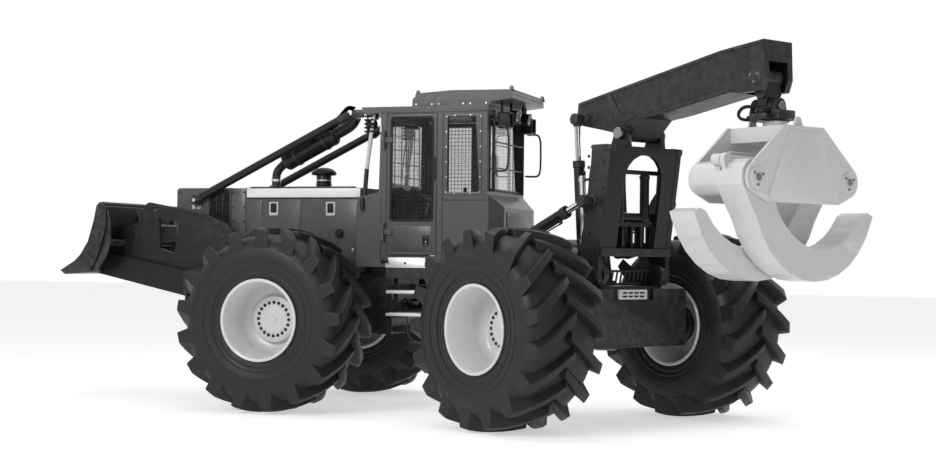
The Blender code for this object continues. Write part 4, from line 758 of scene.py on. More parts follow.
def add_grilles():
    """Louvred side panels and the barred air outlet at the front."""
    x0, x1, z0, z1 = 2.862, 3.108, 1.66, 2.368
    border = framed((x0 - 0.016, z0 - 0.016), (x1 + 0.016, z1 + 0.016), 0.022, 0.02, "Y", SIDE_Y,
                    SIDE_Y + 0.010)
    back = block((x0, SIDE_Y, z0), (x1, SIDE_Y + 0.002, z1), 0)
    slat = block((x0, -0.010, -0.002), (x1, 0.010, 0.002), 0.0008, 1)
    tilt = Matrix.Rotation(math.radians(-38), 4, "X")
    slats = repeat(slat, [Matrix.Translation((0, SIDE_Y + 0.007,
                                              z0 + 0.012 + 0.0175 * i)) @ tilt for i in range(40)])
    posts = [block((x - 0.004, SIDE_Y, z0), (x + 0.004, SIDE_Y + 0.015, z1), 0.001) for x in (2.944, 3.026)]
    fit(both_sides(join(border, back, slats, *posts)), "side_louvres", "front", "dark")
    corners = [(3.16, SIDE_Y, z) for z in (1.56, 1.95, 2.36)] + [(3.50, SIDE_Y, z) for z in (1.56, 1.95,
                                                                                             2.36)]
    fit(both_sides(bolts(corners, (0, 1, 0), 0.011)), "radiator_side_bolts", "front", "dark")
    slots = [plate(rounded((x, z), (x + 0.045, z + 0.055), 0.008), "Y", SIDE_Y, SIDE_Y + 0.002, 0.0006)
             for x, z in ((3.235, 2.17), (3.300, 2.17), (3.235, 2.03))]
    fit(both_sides(join(*slots)), "radiator_side_plates", "front", "label")
    bar = rod((3.536, 0, 1.56), (3.536, 0, 2.35), 0.006, 0.002, 12)
    bars = repeat(bar, [Matrix.Translation((0, -0.46 + 0.04 * i, 0)) for i in range(24)])
    rails = [rod((3.530, -0.47, z), (3.530, 0.47, z), 0.007, 0.002, 12) for z in (1.58, 1.95, 2.33)]
    fit(join(bars, *rails), "radiator_guard_bars", "front", "dark")
    deselect()
    bpy.ops.mesh.primitive_grid_add(x_subdivisions=60, y_subdivisions=46, size=1)
    fins = bpy.context.object
    fins.data.transform(Matrix.Translation((3.346, 0, 1.96)) @ Matrix.Rotation(math.pi / 2, 4, "Y")
                        @ Matrix.Diagonal((0.70, 0.92, 1, 1)))
    modify(fins, "WIREFRAME", thickness=0.004)
    fit(fins, "radiator_core_fins", "front", "steel")


def add_deflectors():
    """Brush guards from the radiator housing to the cab, with the exhaust under the left one."""
    for side, name in ((1, "left"), (-1, "right")):
        y = side * (SIDE_Y + 0.06)
        low, high = Vector((3.27, y, 2.27)), Vector((1.36, y, 3.215))
        tube = rod(low, high, 0.045, 0.006, 40, ((0.03, 0.10, 0.052), (1.98, 2.10, 0.052)))
        lug = plate(ring((3.27, 2.27), 0.062, 24), "Y", min(y - side * 0.06, y), max(y - side * 0.06, y),
                    0.004)
        ear = plate(ring((1.36, 3.215), 0.082, 14, -62, 118) + ring((1.60, 3.095), 0.052, 8, 118, 298), "Y",
                    y - 0.028,
                    y + 0.028, 0.006)
        shoe = block((1.209, y - 0.024, 3.172), (1.36, y + 0.024, 3.258), 0.006)
        pins = [rod((1.36, y - 0.040, 3.225), (1.36, y + 0.040, 3.225), 0.030),
                rod((3.27, y - 0.050, 2.27), (3.27, y + 0.048, 2.27), 0.022)]
        fit(join(tube, lug, ear, shoe), f"brush_guard_{name}", "front", "dark", 35, (f"deflector_{name}",))
        fit(join(*pins), f"brush_guard_pins_{name}", "front", "zinc")
    y = 0.40
    start, end = Vector((2.26, y, 2.70)), Vector((1.62, y, 3.02))
    length = (end - start).length
    can = lathe([(0, length), (0.06, length - 0.002), (0.095, length - 0.016), (0.110, length - 0.035),
                 (0.110, length - 0.05), (0.113, length - 0.055), (0.113, length - 0.075),
                 (0.110, length - 0.08),
                 (0.110, 0.08), (0.113, 0.075), (0.113, 0.055), (0.110, 0.05), (0.110, 0.035), (0.095, 0.016),
                 (0.06, 0.002), (0, 0)], start, end - start, 48)
    riser = pipe([(2.36, y, 2.4105), (2.36, y, 2.52), (2.35, y, 2.60), (2.28, y, 2.67), (2.22, y, 2.72)],
                 0.048, 6)
    elbow = pipe([(1.68, y, 2.99), (1.60, y, 3.03), (1.50, y, 3.08), (1.42, y + 0.01, 3.13),
                  (1.385, y + 0.02, 3.20)],
                 0.068, 6)
    band = [lathe([(0.118, 0.016), (0.118, -0.016), (0.109, -0.016), (0.109, 0.016)], start.lerp(end, s),
                  end - start, 48)
            for s in (0.25, 0.78)]
    hanger = [block((1.86, y, 2.93), (1.92, SIDE_Y + 0.013, 2.97), 0.004)]
    fit(join(can, riser, elbow, *band, *hanger), "exhaust_silencer", "front", "dark", 40, ("muffler",))
    clamp = lathe([(0.056, 0.014), (0.056, -0.014), (0.047, -0.014), (0.047, 0.014)], (2.36, y, 2.50),
                  (0, 0, 1), 32)
    fit(clamp, "exhaust_clamp", "front", "zinc")


def add_air_cleaner():
    x, y = 1.86, 0.20
    hat = lathe([(0, 2.652), (0.05, 2.648), (0.105, 2.630), (0.140, 2.598), (0.145, 2.585), (0.143, 2.578),
                 (0.120, 2.578), (0.090, 2.572), (0.088, 2.560), (0, 2.560)], (x, y, 0), (0, 0, 1), 48)
    neck = lathe([(0, 2.560), (0.082, 2.560), (0.085, 2.552), (0.085, 2.470), (0.090, 2.466), (0.090, 2.452),
                  (0.085, 2.448), (0.085, 2.418), (0.094, 2.414), (0.094, 2.4105), (0, 2.4105)], (x, y, 0),
                  (0, 0, 1), 48)
    vane = block((-0.002, 0.086, 2.566), (0.002, 0.136, 2.590), 0)
    vanes = repeat(vane, [Matrix.Translation((x, y, 0)) @ Matrix.Rotation(math.tau * i / 24, 4,
                                                                          "Z") for i in range(24)])
    fit(join(hat, vanes), "air_cleaner_hat", "front", "plastic", 40, ("precleaner",))
    fit(neck, "air_cleaner_neck", "front", "dark")
    band = lathe([(0.088, 2.512), (0.088, 2.498), (0.0855, 2.498), (0.0855, 2.512)], (x, y, 0), (0, 0, 1), 40)
    fit(band, "air_cleaner_band", "front", "zinc")


# ================================ cab =======================================================
def wire_screen(low, high, y, cells, thickness=0.005):
    deselect()
    bpy.ops.mesh.primitive_grid_add(x_subdivisions=cells[0], y_subdivisions=cells[1], size=1)
    screen = bpy.context.object
    width, height = high[0] - low[0], high[1] - low[1]
    screen.data.transform(Matrix.Translation(((low[0] + high[0]) / 2, y, (low[1] + high[1]) / 2))
                          @ Matrix.Rotation(math.pi / 2, 4, "X") @ Matrix.Diagonal((width, height, 1, 1)))
    return modify(screen, "WIREFRAME", thickness=thickness, use_even_offset=False)


def add_doors():
    for side, name in ((1, "left"), (-1, "right")):
        rides = f"door_{name}"
        face = side * CAB_Y
        (x0, x1), (z0, z1) = DOOR_WINDOW_X, DOOR_WINDOW_Z
        screen = wire_screen((x0, z0), (x1, z1), side * (CAB_Y - 0.004), (11, 25))
        fit(screen, f"door_{name}_screen", rides, "screen", 20)
        gasket = framed((x0 - 0.016, z0 - 0.016), (x1 + 0.016, z1 + 0.016), 0.024, 0.045, "Y", face,
                        face + side * 0.005)
        fit(gasket, f"door_{name}_gasket", rides, "rubber")
        pane = block((x0 - 0.004, face - side * 0.030, z0 - 0.004),
                     (x1 + 0.004, face - side * 0.025, z1 + 0.004), 0)
        fit(pane, f"door_{name}_glass", rides, "glass", 20)
        skin = framed((DOOR_X[0] + 0.008, DOOR_Z[0] + 0.010), (DOOR_X[1] - 0.008, DOOR_Z[1] - 0.010), 0.018,
                      0.03, "Y",
                      face, face + side * 0.004)
        press = plate(rounded((0.375, 1.705), (0.862, 1.985), 0.03), "Y", face, face + side * 0.004, 0.002)
        fit(join(skin, press), f"door_{name}_pressing", rides, "body")
        well = framed((0.405, 1.765), (0.480, 1.885), 0.010, 0.010, "Y", face + side * 0.004,
                      face + side * 0.012)
        pull = block((0.418, face + side * 0.004, 1.790), (0.467, face + side * 0.007, 1.862), 0.003)
        grip = block((0.425, face + side * 0.006, 1.842), (0.460, face + side * 0.015, 1.856), 0.003)
        fit(join(well, pull, grip), f"door_{name}_latch", rides, "plastic")
        button = lathe([(0, 0.006), (0.007, 0.005), (0.009, 0), (0, 0)], (0.443, face + side * 0.007, 1.812),
                       (0, side, 0), 20)
        fit(button, f"door_{name}_button", rides, "zinc")
        handle = pipe([(0.352, face + side * 0.002, 2.48), (0.352, face + side * 0.034, 2.49),
                       (0.352, face + side * 0.036, 2.60), (0.352, face + side * 0.034, 2.71),
                       (0.352, face + side * 0.002, 2.72)], 0.009)
        fit(handle, f"door_{name}_grab", rides, "dark")


def add_cab_sides():
    for side, name in ((1, "left"), (-1, "right")):
        face = side * CAB_Y
        (x0, x1), (z0, z1) = SIDE_WINDOW_X, SIDE_WINDOW_Z
        screen = wire_screen((x0 - 0.02, z0), (x1, z1), side * (CAB_Y - 0.012), (9, 21))
        fit(screen, f"side_window_{name}_screen", "front", "screen", 20)
        pane = block((x0 - 0.03, face - side * 0.034, z0 - 0.008),
                     (x1 + 0.008, face - side * 0.029, z1 + 0.008), 0)
        fit(pane, f"side_window_{name}_glass", "front", "glass", 20)
        border = framed((x0 - 0.052, z0 - 0.028), (x1 + 0.028, z1 + 0.028), 0.026, 0.05, "Y", face,
                        face + side * 0.006)
        fit(border, f"side_window_{name}_frame", "front", "body")
        heads = row((x0 - 0.035, face + side * 0.006, z0), (x0 - 0.035, face + side * 0.006, z1), 6)
        heads += row((x1 + 0.014, face + side * 0.006, z0), (x1 + 0.014, face + side * 0.006, z1), 6)
        heads += row((x0 + 0.08, face + side * 0.006, z1 + 0.012),
                     (x1 - 0.08, face + side * 0.006, z1 + 0.012), 2)
        heads += row((x0 + 0.08, face + side * 0.006, z0 - 0.012),
                     (x1 - 0.08, face + side * 0.006, z0 - 0.012), 2)
        fit(bolts(heads, (0, side, 0), 0.006), f"side_window_{name}_bolts", "front", "zinc")
        seams = [block((x, min(face, face + side * 0.003), z0),
                       (x + 0.006, max(face, face + side * 0.003), z1), 0.001)
                 for x, z0, z1 in ((0.258, 1.58, 3.20), (0.964, 1.60, 2.30))]
        seams.append(block((-0.235, min(face, face + side * 0.003), 2.262),
                           (0.252, max(face, face + side * 0.003), 2.268), 0.001))
        fit(join(*seams), f"cab_{name}_seams", "front", "plastic")
        gutter = block((-0.236, min(face - side * 0.01, face + side * 0.014), 3.214),
                       (0.990, max(face - side * 0.01, face + side * 0.014), 3.226), 0.004)
        fit(gutter, f"cab_{name}_gutter", "front", "body")
        hinges = [block((0.945, min(face, face + side * 0.01), z),
                        (0.985, max(face, face + side * 0.01), z + 0.10), 0.004)
                 for z in (1.90, 2.86)]
        fit(join(*hinges), f"cab_{name}_hinge_plates", "front", "body")
        marker = plate(rounded((0.968, 3.00), (0.992, 3.09), 0.008), "Y", face, face + side * 0.010, 0.003)
        fit(marker, f"cab_{name}_marker", "front", "label")
        post = rod((1.092, side * 0.60, 3.206), (1.168, side * 0.60, 2.60), 0.023, 0.003, 24,
                   ((0.30, 0.33, 0.028),))
        fit(post, f"cowl_{name}_rail_upper", "front", "label")
        foot = pipe([(1.166, side * 0.60, 2.61), (1.180, side * 0.60, 2.42), (1.186, side * 0.612, 2.30),
                     (1.186, side * 0.672, 2.27), (1.184, side * 0.684, 2.20), (1.182, side * 0.672, 2.16)],
                     0.025, 6)
        fit(foot, f"cowl_{name}_rail_lower", "front", "dark")


def add_cab_ends():
    gasket = framed((-0.585, 2.435), (0.585, 3.155), 0.03, 0.05, "X", 1.0005, 1.006)
    fit(gasket, "windshield_gasket", "front", "rubber")
    wires = [rod((1.003, -0.56, z), (1.003, 0.56, z), 0.006, 0.002, 12)
                        for z in (2.55, 2.70, 2.85, 3.00)]
    wires += [rod((1.003, y, 2.46), (1.003, y, 3.13), 0.006, 0.002, 12) for y in (-0.4, -0.2, 0.0, 0.2, 0.4)]
    fit(join(*wires), "windshield_guard", "front", "dark")
    wiper = join(rod((1.010, 0.0, 2.42), (1.014, -0.16, 2.98), 0.006, 0.002, 12),
                 block((1.004, -0.175, 2.62), (1.016, -0.155, 3.05), 0.003),
                 lathe([(0, 0.03), (0.018, 0.026), (0.022, 0), (0, 0)], (1.0, 0.0, 2.42), (1, 0, 0), 24))
    fit(wiper, "windshield_wiper", "front", "plastic")
    rear = framed((-0.585, 2.365), (0.585, 3.175), 0.03, 0.05, "X", REAR_GLASS_X - 0.006, REAR_GLASS_X)
    fit(rear, "rear_window_gasket", "front", "rubber")
    wrap = plate([(-0.262, 1.590), (-0.262, 2.306), (-0.34, 2.238), (-0.396, 2.189), (-0.396, 1.866),
                  (-0.34, 1.746)],
                 "Y", 0, 0.006, 0)
    for vertex in wrap.data.vertices:
        vertex.co.y += 0.655 + 1.2625 * (vertex.co.x + 0.262) if vertex.co.x > -0.342 else 0.546
    fit(both_sides(wrap), "cab_rear_corners", "front", "body")
    ledge = row((REAR_GLASS_X - 0.05, -0.50, 2.292), (REAR_GLASS_X - 0.05, 0.50, 2.292), 9)
    fit(bolts(ledge, (-0.66, 0, 0.75), 0.007), "rear_ledge_bolts", "front", "zinc")
    panel = plate(rounded((-0.46, 1.90), (0.46, 2.15), 0.03), "X", -0.406, -0.400, 0.002)
    fit(panel, "rear_service_panel", "front", "body")
    knobs = bolts([(-0.406, y, z) for y in (-0.42, 0.42) for z in (1.94, 2.11)], (-1, 0, 0), 0.009)
    fit(knobs, "rear_service_panel_bolts", "front", "zinc")
    guard = []
    for y in (-0.52, 0.52):
        guard.append(rod((REAR_GLASS_X - 0.028, y, 2.36), (REAR_GLASS_X - 0.028, y, 3.24), 0.018, 0.004, 20))
    for z in (2.62, 2.90):
        guard.append(rod((REAR_GLASS_X - 0.028, -0.52, z), (REAR_GLASS_X - 0.028, 0.52, z), 0.009, 0.002, 16))
    fit(join(*guard), "rear_window_guard", "front", "dark")
    for side, name in ((1, "left"), (-1, "right")):
        y = side * 0.60
        loop = [(-0.30, y, 3.05), (-0.40, y, 3.06), (-0.455, y, 3.02), (-0.46, y, 2.80), (-0.455, y, 2.60),
                (-0.40, y, 2.57), (-0.28, y, 2.58)]
        fit(pipe(loop, 0.011), f"rear_mirror_loop_{name}", "front", "dark")


def work_lamp(place, direction, size=0.062):
    """Housing, reflector bowl, lens and guard for one lamp, in one direction."""
    way = Vector(direction).normalized()
    back = Vector(place)
    housing = lathe([(0, 0), (size * 0.7, 0), (size, size * 0.5), (size * 1.06, size * 1.3),
                     (size * 1.06, size * 1.5),
                     (size * 0.94, size * 1.5), (size * 0.9, size * 1.2), (0, size * 1.2)], back, way, 32)
    bowl = lathe([(0, size * 1.22), (size * 0.5, size * 1.24), (size * 0.88, size * 1.40),
                  (size * 0.90, size * 1.38),
                  (size * 0.6, size * 1.21), (0, size * 1.205)], back, way, 32)
    lens = lathe([(0, size * 1.50), (size * 0.5, size * 1.49), (size * 0.92, size * 1.45),
                  (size * 0.92, size * 1.42),
                  (0, size * 1.44)], back, way, 32)
    cage = [lathe([(size * k + 0.003, size * 1.56), (size * k + 0.003, size * 1.52),
                   (size * k - 0.003, size * 1.52),
                   (size * k - 0.003, size * 1.56)], back, way, 32) for k in (0.42, 0.82, 1.1)]
    return housing, bowl, lens, cage


def add_lamps():
    shells, bowls, lenses = [], [], []
    for side in (1, -1):
        spots = [((1.075, side * 0.565, 3.10), (1, 0, -0.10)),
                 ((-0.30, side * 0.42, 3.13), (-1, side * 0.10, -0.15)),
                 ((-0.345, side * 0.22, 3.20), (-1, 0, -0.15))]
        for place, way in spots:
            housing, bowl, lens, cage = work_lamp(place, way)
            shells += [housing, *cage]
            bowls.append(bowl)
            lenses.append(lens)
        for y, x in ((0.42, -0.33), (0.22, -0.37)):
            shells.append(block((x - 0.01, side * y - 0.012, 3.20), (x + 0.02, side * y + 0.012, 3.36),
                                0.003))
        box_low, box_high = sorted((side * 0.34, side * 0.50))
        shells.append(framed((box_low, 3.045), (box_high, 3.215), 0.012, 0.02, "X", -0.43, -0.30))
        shells.append(block((1.05, side * 0.565 - 0.010, 3.15), (1.10, side * 0.565 + 0.010, 3.21), 0.003))
        for i in range(5):
            z = 3.02 + 0.042 * i
            shells.append(pipe([(1.10, side * 0.50, z), (1.19, side * 0.50, z), (1.205, side * 0.565, z),
                                (1.19, side * 0.63, z), (1.08, side * 0.63, z)], 0.009, 3))
        shells.append(rod((1.15, side * 0.63, 2.99), (1.15, side * 0.63, 3.205), 0.009, 0.002, 12))
        shells.append(rod((1.15, side * 0.50, 2.99), (1.15, side * 0.50, 3.205), 0.009, 0.002, 12))
    fit(join(*shells), "lamp_housings", "front", "plastic")
    fit(join(*bowls), "lamp_reflectors", "front", "mirror")
    fit(join(*lenses), "lamp_lenses", "front", "lens")


def add_roof():
    y = 0.59
    heads = [(x, y, 3.305) for x in (0.60, 0.42, 0.34, 0.06, -0.02, -0.20)]
    fit(both_sides(bolts(heads, (0, 1, 0), 0.007)), "roof_side_bolts", "front", "zinc")
    eyes = []
    for x, z in ((0.585, 3.428), (-0.478, 3.452)):
        lug = [(x - 0.035, z - 0.03), (x + 0.035, z - 0.03)] + ring((x, z + 0.012), 0.022, 9, -20, 200)
        eyes.append(plate(lug, "Y", 0.565, 0.580, 0.003))
        eyes.append(lathe([(0.014, 0.010), (0.014, -0.010), (0.009, -0.010), (0.009, 0.010)],
                          (x, 0.5725, z + 0.012),
                          (0, 1, 0), 20))
    fit(both_sides(join(*eyes)), "roof_lifting_eyes", "front", "body")
    lip = [block((-0.496, -0.59, 3.352), (-0.488, 0.59, 3.362), 0.003),
           block((-0.496, -0.59, 3.436), (-0.488, 0.59, 3.448), 0.003)]
    fit(join(*lip), "roof_rear_lip", "front", "body")
    slot = block((-0.0905, -0.018, 0), (-0.0895, 0.018, 0.006), 0)
    slots = repeat(slot, [Matrix.Translation((-0.402, -0.54 + 0.045 * i, 3.393)) for i in range(25)])
    fit(slots, "roof_rear_vents", "front", "plastic")
    aerial = join(lathe([(0, 0.07), (0.025, 0.066), (0.038, 0.05), (0.042, 0.0), (0, 0)],
                        (0.05, -0.35, 3.452), (0, 0, 1), 32),
                  lathe([(0, 0.012), (0.05, 0.010), (0.054, 0), (0, 0)], (0.05, -0.35, 3.450), (0, 0, 1), 32))
    fit(aerial, "roof_aerial_base", "front", "plastic")
    front = [block((0.998, -0.64, 3.222), (1.203, 0.64, 3.230), 0.002)]
    fit(join(*front), "roof_front_liner", "front", "dark")


def padded(low, high, name, cap):
    """A stuffed pad: the block is remeshed, blown up as cloth and held within a cap."""
    pad = block(low, high, 0.03, 4)
    modify(pad, "REMESH", mode="VOXEL", voxel_size=0.012)
    rest = [v.co.copy() for v in pad.data.vertices]
    pick(pad)
    bpy.ops.object.modifier_add(type="CLOTH")
    sim = pad.modifiers[-1]
    sim.settings.use_pressure = True
    sim.settings.uniform_pressure_force = 4.0
    sim.settings.effector_weights.gravity = 0.0
    sim.point_cache.frame_start = 1
    sim.point_cache.frame_end = 20
    for step in range(1, 21):
        bpy.context.scene.frame_set(step)
    bpy.ops.object.modifier_apply(modifier=sim.name)
    bpy.context.scene.frame_set(1)
    for vertex, place in zip(pad.data.vertices, rest):
        move = vertex.co - place
        if move.length > cap:
            vertex.co = place + move * (cap / move.length)
    modify(pad, "SUBSURF", levels=1, render_levels=1)
    fit(pad, name, "front", "seat", 60)
    return pad


def add_cab_interior():
    padded((-0.01, -0.225, 2.035), (0.43, 0.225, 2.135), "seat_cushion", 0.014)
    back = padded((-0.085, -0.215, 2.17), (-0.005, 0.215, 2.82), "seat_backrest", 0.014)
    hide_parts("seat")
    piping = pipe([(0.0, 0.225, 2.09), (0.42, 0.225, 2.09), (0.435, 0.20, 2.09), (0.435, -0.20, 2.09),
                   (0.42, -0.225, 2.09), (0.0, -0.225, 2.09)], 0.006)
    fit(piping, "seat_piping", "front", "rubber")
    rests = [block((0.02, side * 0.27 - 0.03, 2.27), (0.36, side * 0.27 + 0.03, 2.32), 0.018,
                   4) for side in (1, -1)]
    sticks = [pipe([(0.34, side * 0.36, 2.22), (0.35, side * 0.36, 2.30), (0.36, side * 0.36, 2.38)], 0.010)
              for side in (1, -1)]
    knobs = [lathe([(0, 0.09), (0.016, 0.086), (0.022, 0.06), (0.018, 0.02), (0.012, 0), (0, 0)],
                   (0.36, side * 0.36, 2.36), (0, 0, 1), 24) for side in (1, -1)]
    fit(join(*rests, *sticks, *knobs), "seat_controls", "front", "plastic")
    rim = lathe([(0.192 + 0.012 * math.cos(a), 0.012 * math.sin(a)) for a in
                 [math.tau * i / 12 for i in range(12)]], (0.70, 0, 2.372), (-0.12, 0, 1), 48)
    spokes = [rod((0.70, 0, 2.362), Vector((0.70, 0, 2.362)) + Vector((0.19 * math.cos(a), 0.19 * math.sin(a),
              0.023 * math.cos(a))), 0.009, 0.002, 12) for a in (0.5, 2.6, 4.7)]
    fit(join(rim, *spokes), "steering_wheel", "front", "plastic")
    dash = plate([(0.90, 1.95), (0.90, 2.36), (0.80, 2.38), (0.76, 2.26), (0.84, 2.10), (0.84, 1.95)], "Y",
                 -0.34, 0.34,
                 0.012, 3)
    gauges = [lathe([(0.034, 0.006), (0.034, 0), (0.028, 0), (0.028, 0.006)], (0.785, y, 2.325),
                    (-0.94, 0, 0.33), 24)
              for y in (-0.22, -0.12, 0.12, 0.22)]
    fit(join(dash, *gauges), "dashboard", "front", "plastic")
    pedals = [block((0.74, y - 0.04, 1.66), (0.76, y + 0.04, 1.78), 0.006) for y in (-0.16, 0.0, 0.16)]
    arms = [rod((0.75, y, 1.64), (0.80, y, 1.62), 0.010) for y in (-0.16, 0.0, 0.16)]
    fit(join(*pedals, *arms), "pedals", "front", "dark")


# ================================ underside and steps =======================================
def add_steps():
    for side, name in ((1, "left"), (-1, "right")):
        face = side * 0.862
        fascia = plate([(0.345, 1.536), (0.345, 1.565), (0.37, 1.565), (0.37, 1.645), (0.79, 1.645),
                        (0.826, 1.60),
                        (0.826, 1.536)], "Y", min(face, face + side * 0.006), max(face, face + side * 0.006),
                        0.002)
        fit(fascia, f"step_{name}_fascia", "front", "tread")
        bumper = lathe([(0, 0.03), (0.02, 0.028), (0.03, 0.02), (0.03, 0), (0, 0)],
                       (0.855, face - side * 0.02, 1.605),
                     (0, side, 0), 28)
        knob = [block((0.79, min(face, face + side * 0.03), 1.585),
                      (0.85, max(face, face + side * 0.03), 1.625), 0.006)]
        fit(join(bumper, *knob), f"step_{name}_bumper", "front", "plastic")
        heads = [(x, face + side * 0.006, 1.585) for x in (0.365, 0.60)]
        fit(bolts(heads, (0, side, 0), 0.009), f"step_{name}_bolts", "front", "plastic")
        tooth = lathe([(0, 0.006), (0.007, 0.005), (0.010, 0), (0, 0)], (0, 0, 0), (0, 0, 1), 8)
        spots = [(0.39 + 0.05 * i, side * (0.60 + 0.05 * j), z) for i in range(9) for j in range(5)
                 for z in (1.290, 1.050)]
        spots += [(0.39 + 0.05 * i, side * (0.70 + 0.05 * j), 1.5397) for i in range(9) for j in range(3)]
        fit(repeat(tooth, [Matrix.Translation(s) for s in spots]), f"step_{name}_grip", "front", "tread")
        lip = [block((0.352, min(face - side * 0.012, face + side * 0.002), z), (0.818,
               max(face - side * 0.012, face + side * 0.002), z + 0.032), 0.003) for z in (1.259, 1.019)]
        fit(join(*lip), f"step_{name}_tread_edges", "front", "tread")
        strap = pipe([(0.58, side * 0.84, 1.02), (0.57, side * 0.84, 0.90), (0.56, side * 0.84, 0.80),
                      (0.48, side * 0.84, 0.745), (0.42, side * 0.84, 0.74)], 0.010)
        rung = block((0.38, min(face - side * 0.10, face - side * 0.01), 0.735),
                     (0.56, max(face - side * 0.10, face - side * 0.01), 0.750), 0.003)
        fit(join(strap, rung), f"step_{name}_stirrup", "front", "dark")


def add_running_gear():
    """Drive shafts, axle bolts, brake housings and lines."""
    z = 0.955
    for rides, end in (("front", 1), ("rear", -1)):
        shaft = rod((end * 1.05, 0, 1.03), (end * 0.10, 0, z), 0.030, 0.004, 32,
                    ((0.05, 0.09, 0.045), (0.28, 0.40, 0.036)))
        yoke = [block((end * 0.04, y - 0.012, z - 0.030), (end * 0.12, y + 0.012, z + 0.030), 0.006)
                for y in ((-0.04, 0.04) if end > 0 else (0.0,))]
        fit(join(shaft, *yoke), f"drive_shaft_{rides}", rides, "dark")
        centre = end * AXLE_X
        cover = lathe([(0, 0.245), (0.10, 0.242), (0.15, 0.225), (0.165, 0.20), (0.185, 0.198), (0.185, 0.18),
                       (0, 0.18)],
                      (centre, 0, AXLE_Z), (0, 0, -1), 40)
        heads = [(centre + 0.175 * math.cos(a), 0.175 * math.sin(a), AXLE_Z - 0.197)
                 for a in [math.tau * i / 14 for i in range(14)]]
        for side in (1, -1):
            heads_y = side * 1.075
            brake = lathe([(0.19, 0.03), (0.215, 0.02), (0.215, -0.02), (0.19, -0.03)],
                          (centre, heads_y, AXLE_Z),
                          (0, 1, 0), 40)
            cover = join(cover, brake)
        fit(cover, f"axle_{rides}_covers", rides, "dark")
        fit(bolts(heads, (0, 0, -1), 0.010), f"axle_{rides}_bolts", rides, "steel")
        line = pipe([(centre + 0.16, 0.95, AXLE_Z + 0.10), (centre + 0.17, 0.60, AXLE_Z + 0.15),
                     (centre + 0.20, 0.25, AXLE_Z + 0.17), (centre + 0.20, -0.25, AXLE_Z + 0.17),
                     (centre + 0.17, -0.60, AXLE_Z + 0.15), (centre + 0.16, -0.95, AXLE_Z + 0.10)], 0.008)
        fit(line, f"brake_line_{rides}", rides, "rubber")
    caps = []
    for z in (1.345, 0.752):
        caps.append(lathe([(0, 0.02), (0.06, 0.018), (0.085, 0.010), (0.09, 0), (0, 0)],
                          (0, 0, z + (0.062 if z > 1 else 0.0)),
                          (0, 0, 1 if z > 1 else -1), 40))
    fit(join(*caps), "articulation_caps", "rear", "dark")
    heads = [(0.06 * math.cos(a), 0.06 * math.sin(a), 1.423) for a in [math.tau * i / 6 for i in range(6)]]
    fit(bolts(heads, (0, 0, 1), 0.010), "articulation_bolts", "rear", "steel")
    hoses = []
    for i in range(5):
        y = -0.24 + 0.05 * i
        hoses.append(pipe([(0.945, y, 1.24), (0.99, y, 1.25), (1.06, y, 1.24), (1.2, y, 1.2)], 0.014))
    fit(join(*hoses), "front_frame_hoses", "front", "rubber")


# ================================ blade =====================================================
def add_blade_details():
    edge = plate([(4.528, 1.560), (4.716, 1.452), (4.664, 1.412), (4.52, 1.448), (4.50, 1.52)], "Y", -1.098,
                 1.098, 0.004)
    fit(edge, "blade_cutting_edge", "blade", "steel")
    heads = row((4.600, -1.02, 1.520), (4.600, 1.02, 1.520), 13)
    fit(bolts(heads, (0.5, 0, 0.87), 0.014), "blade_edge_bolts", "blade", "steel")
    bead = pipe([(4.176, -1.095, 2.212), (4.176, 0, 2.212), (4.176, 1.095, 2.212)], 0.024, 5, False)
    fit(bead, "blade_top_rail", "blade", "blade")
    rib = plate([(4.10, 1.99), (4.136, 2.14), (4.15, 1.90), (4.20, 1.74), (4.30, 1.56), (4.36, 1.45),
                 (4.28, 1.45),
                 (4.14, 1.62), (4.08, 1.80)], "Y", -0.012, 0.012, 0.003)
    ribs = repeat(rib, [Matrix.Translation((0, y, 0)) for y in (-1.06, -0.40, 0.0, 0.40, 1.06)])
    tie = rod((4.12, -1.05, 1.78), (4.12, 1.05, 1.78), 0.035, 0.004, 24)
    fit(join(ribs, tie), "blade_back_ribs", "blade", "blade")
    caps, washers = [], []
    for side in (1, -1):
        y = side * 0.812
        caps.append(lathe([(0, 0.032), (0.06, 0.030), (0.070, 0.020), (0.072, 0), (0, 0)], (2.60, y, 1.50),
                          (0, side, 0), 36))
        washers += [(2.60 + 0.045 * math.cos(a), y + side * 0.030, 1.50 + 0.045 * math.sin(a)) for a in (0.3,
                                                                                                         2.4, 4.5)]
    fit(join(*caps), "blade_pivot_caps", "blade", "blade")
    fit(join(bolts(washers[:3], (0, 1, 0), 0.010), bolts(washers[3:], (0, -1, 0), 0.010)),
        "blade_pivot_bolts", "blade",
        "steel")
    bar = rod((3.97, -0.72, 1.965), (3.97, 0.72, 1.965), 0.035, 0.004, 24)
    fit(bar, "blade_cross_tube", "blade", "blade")


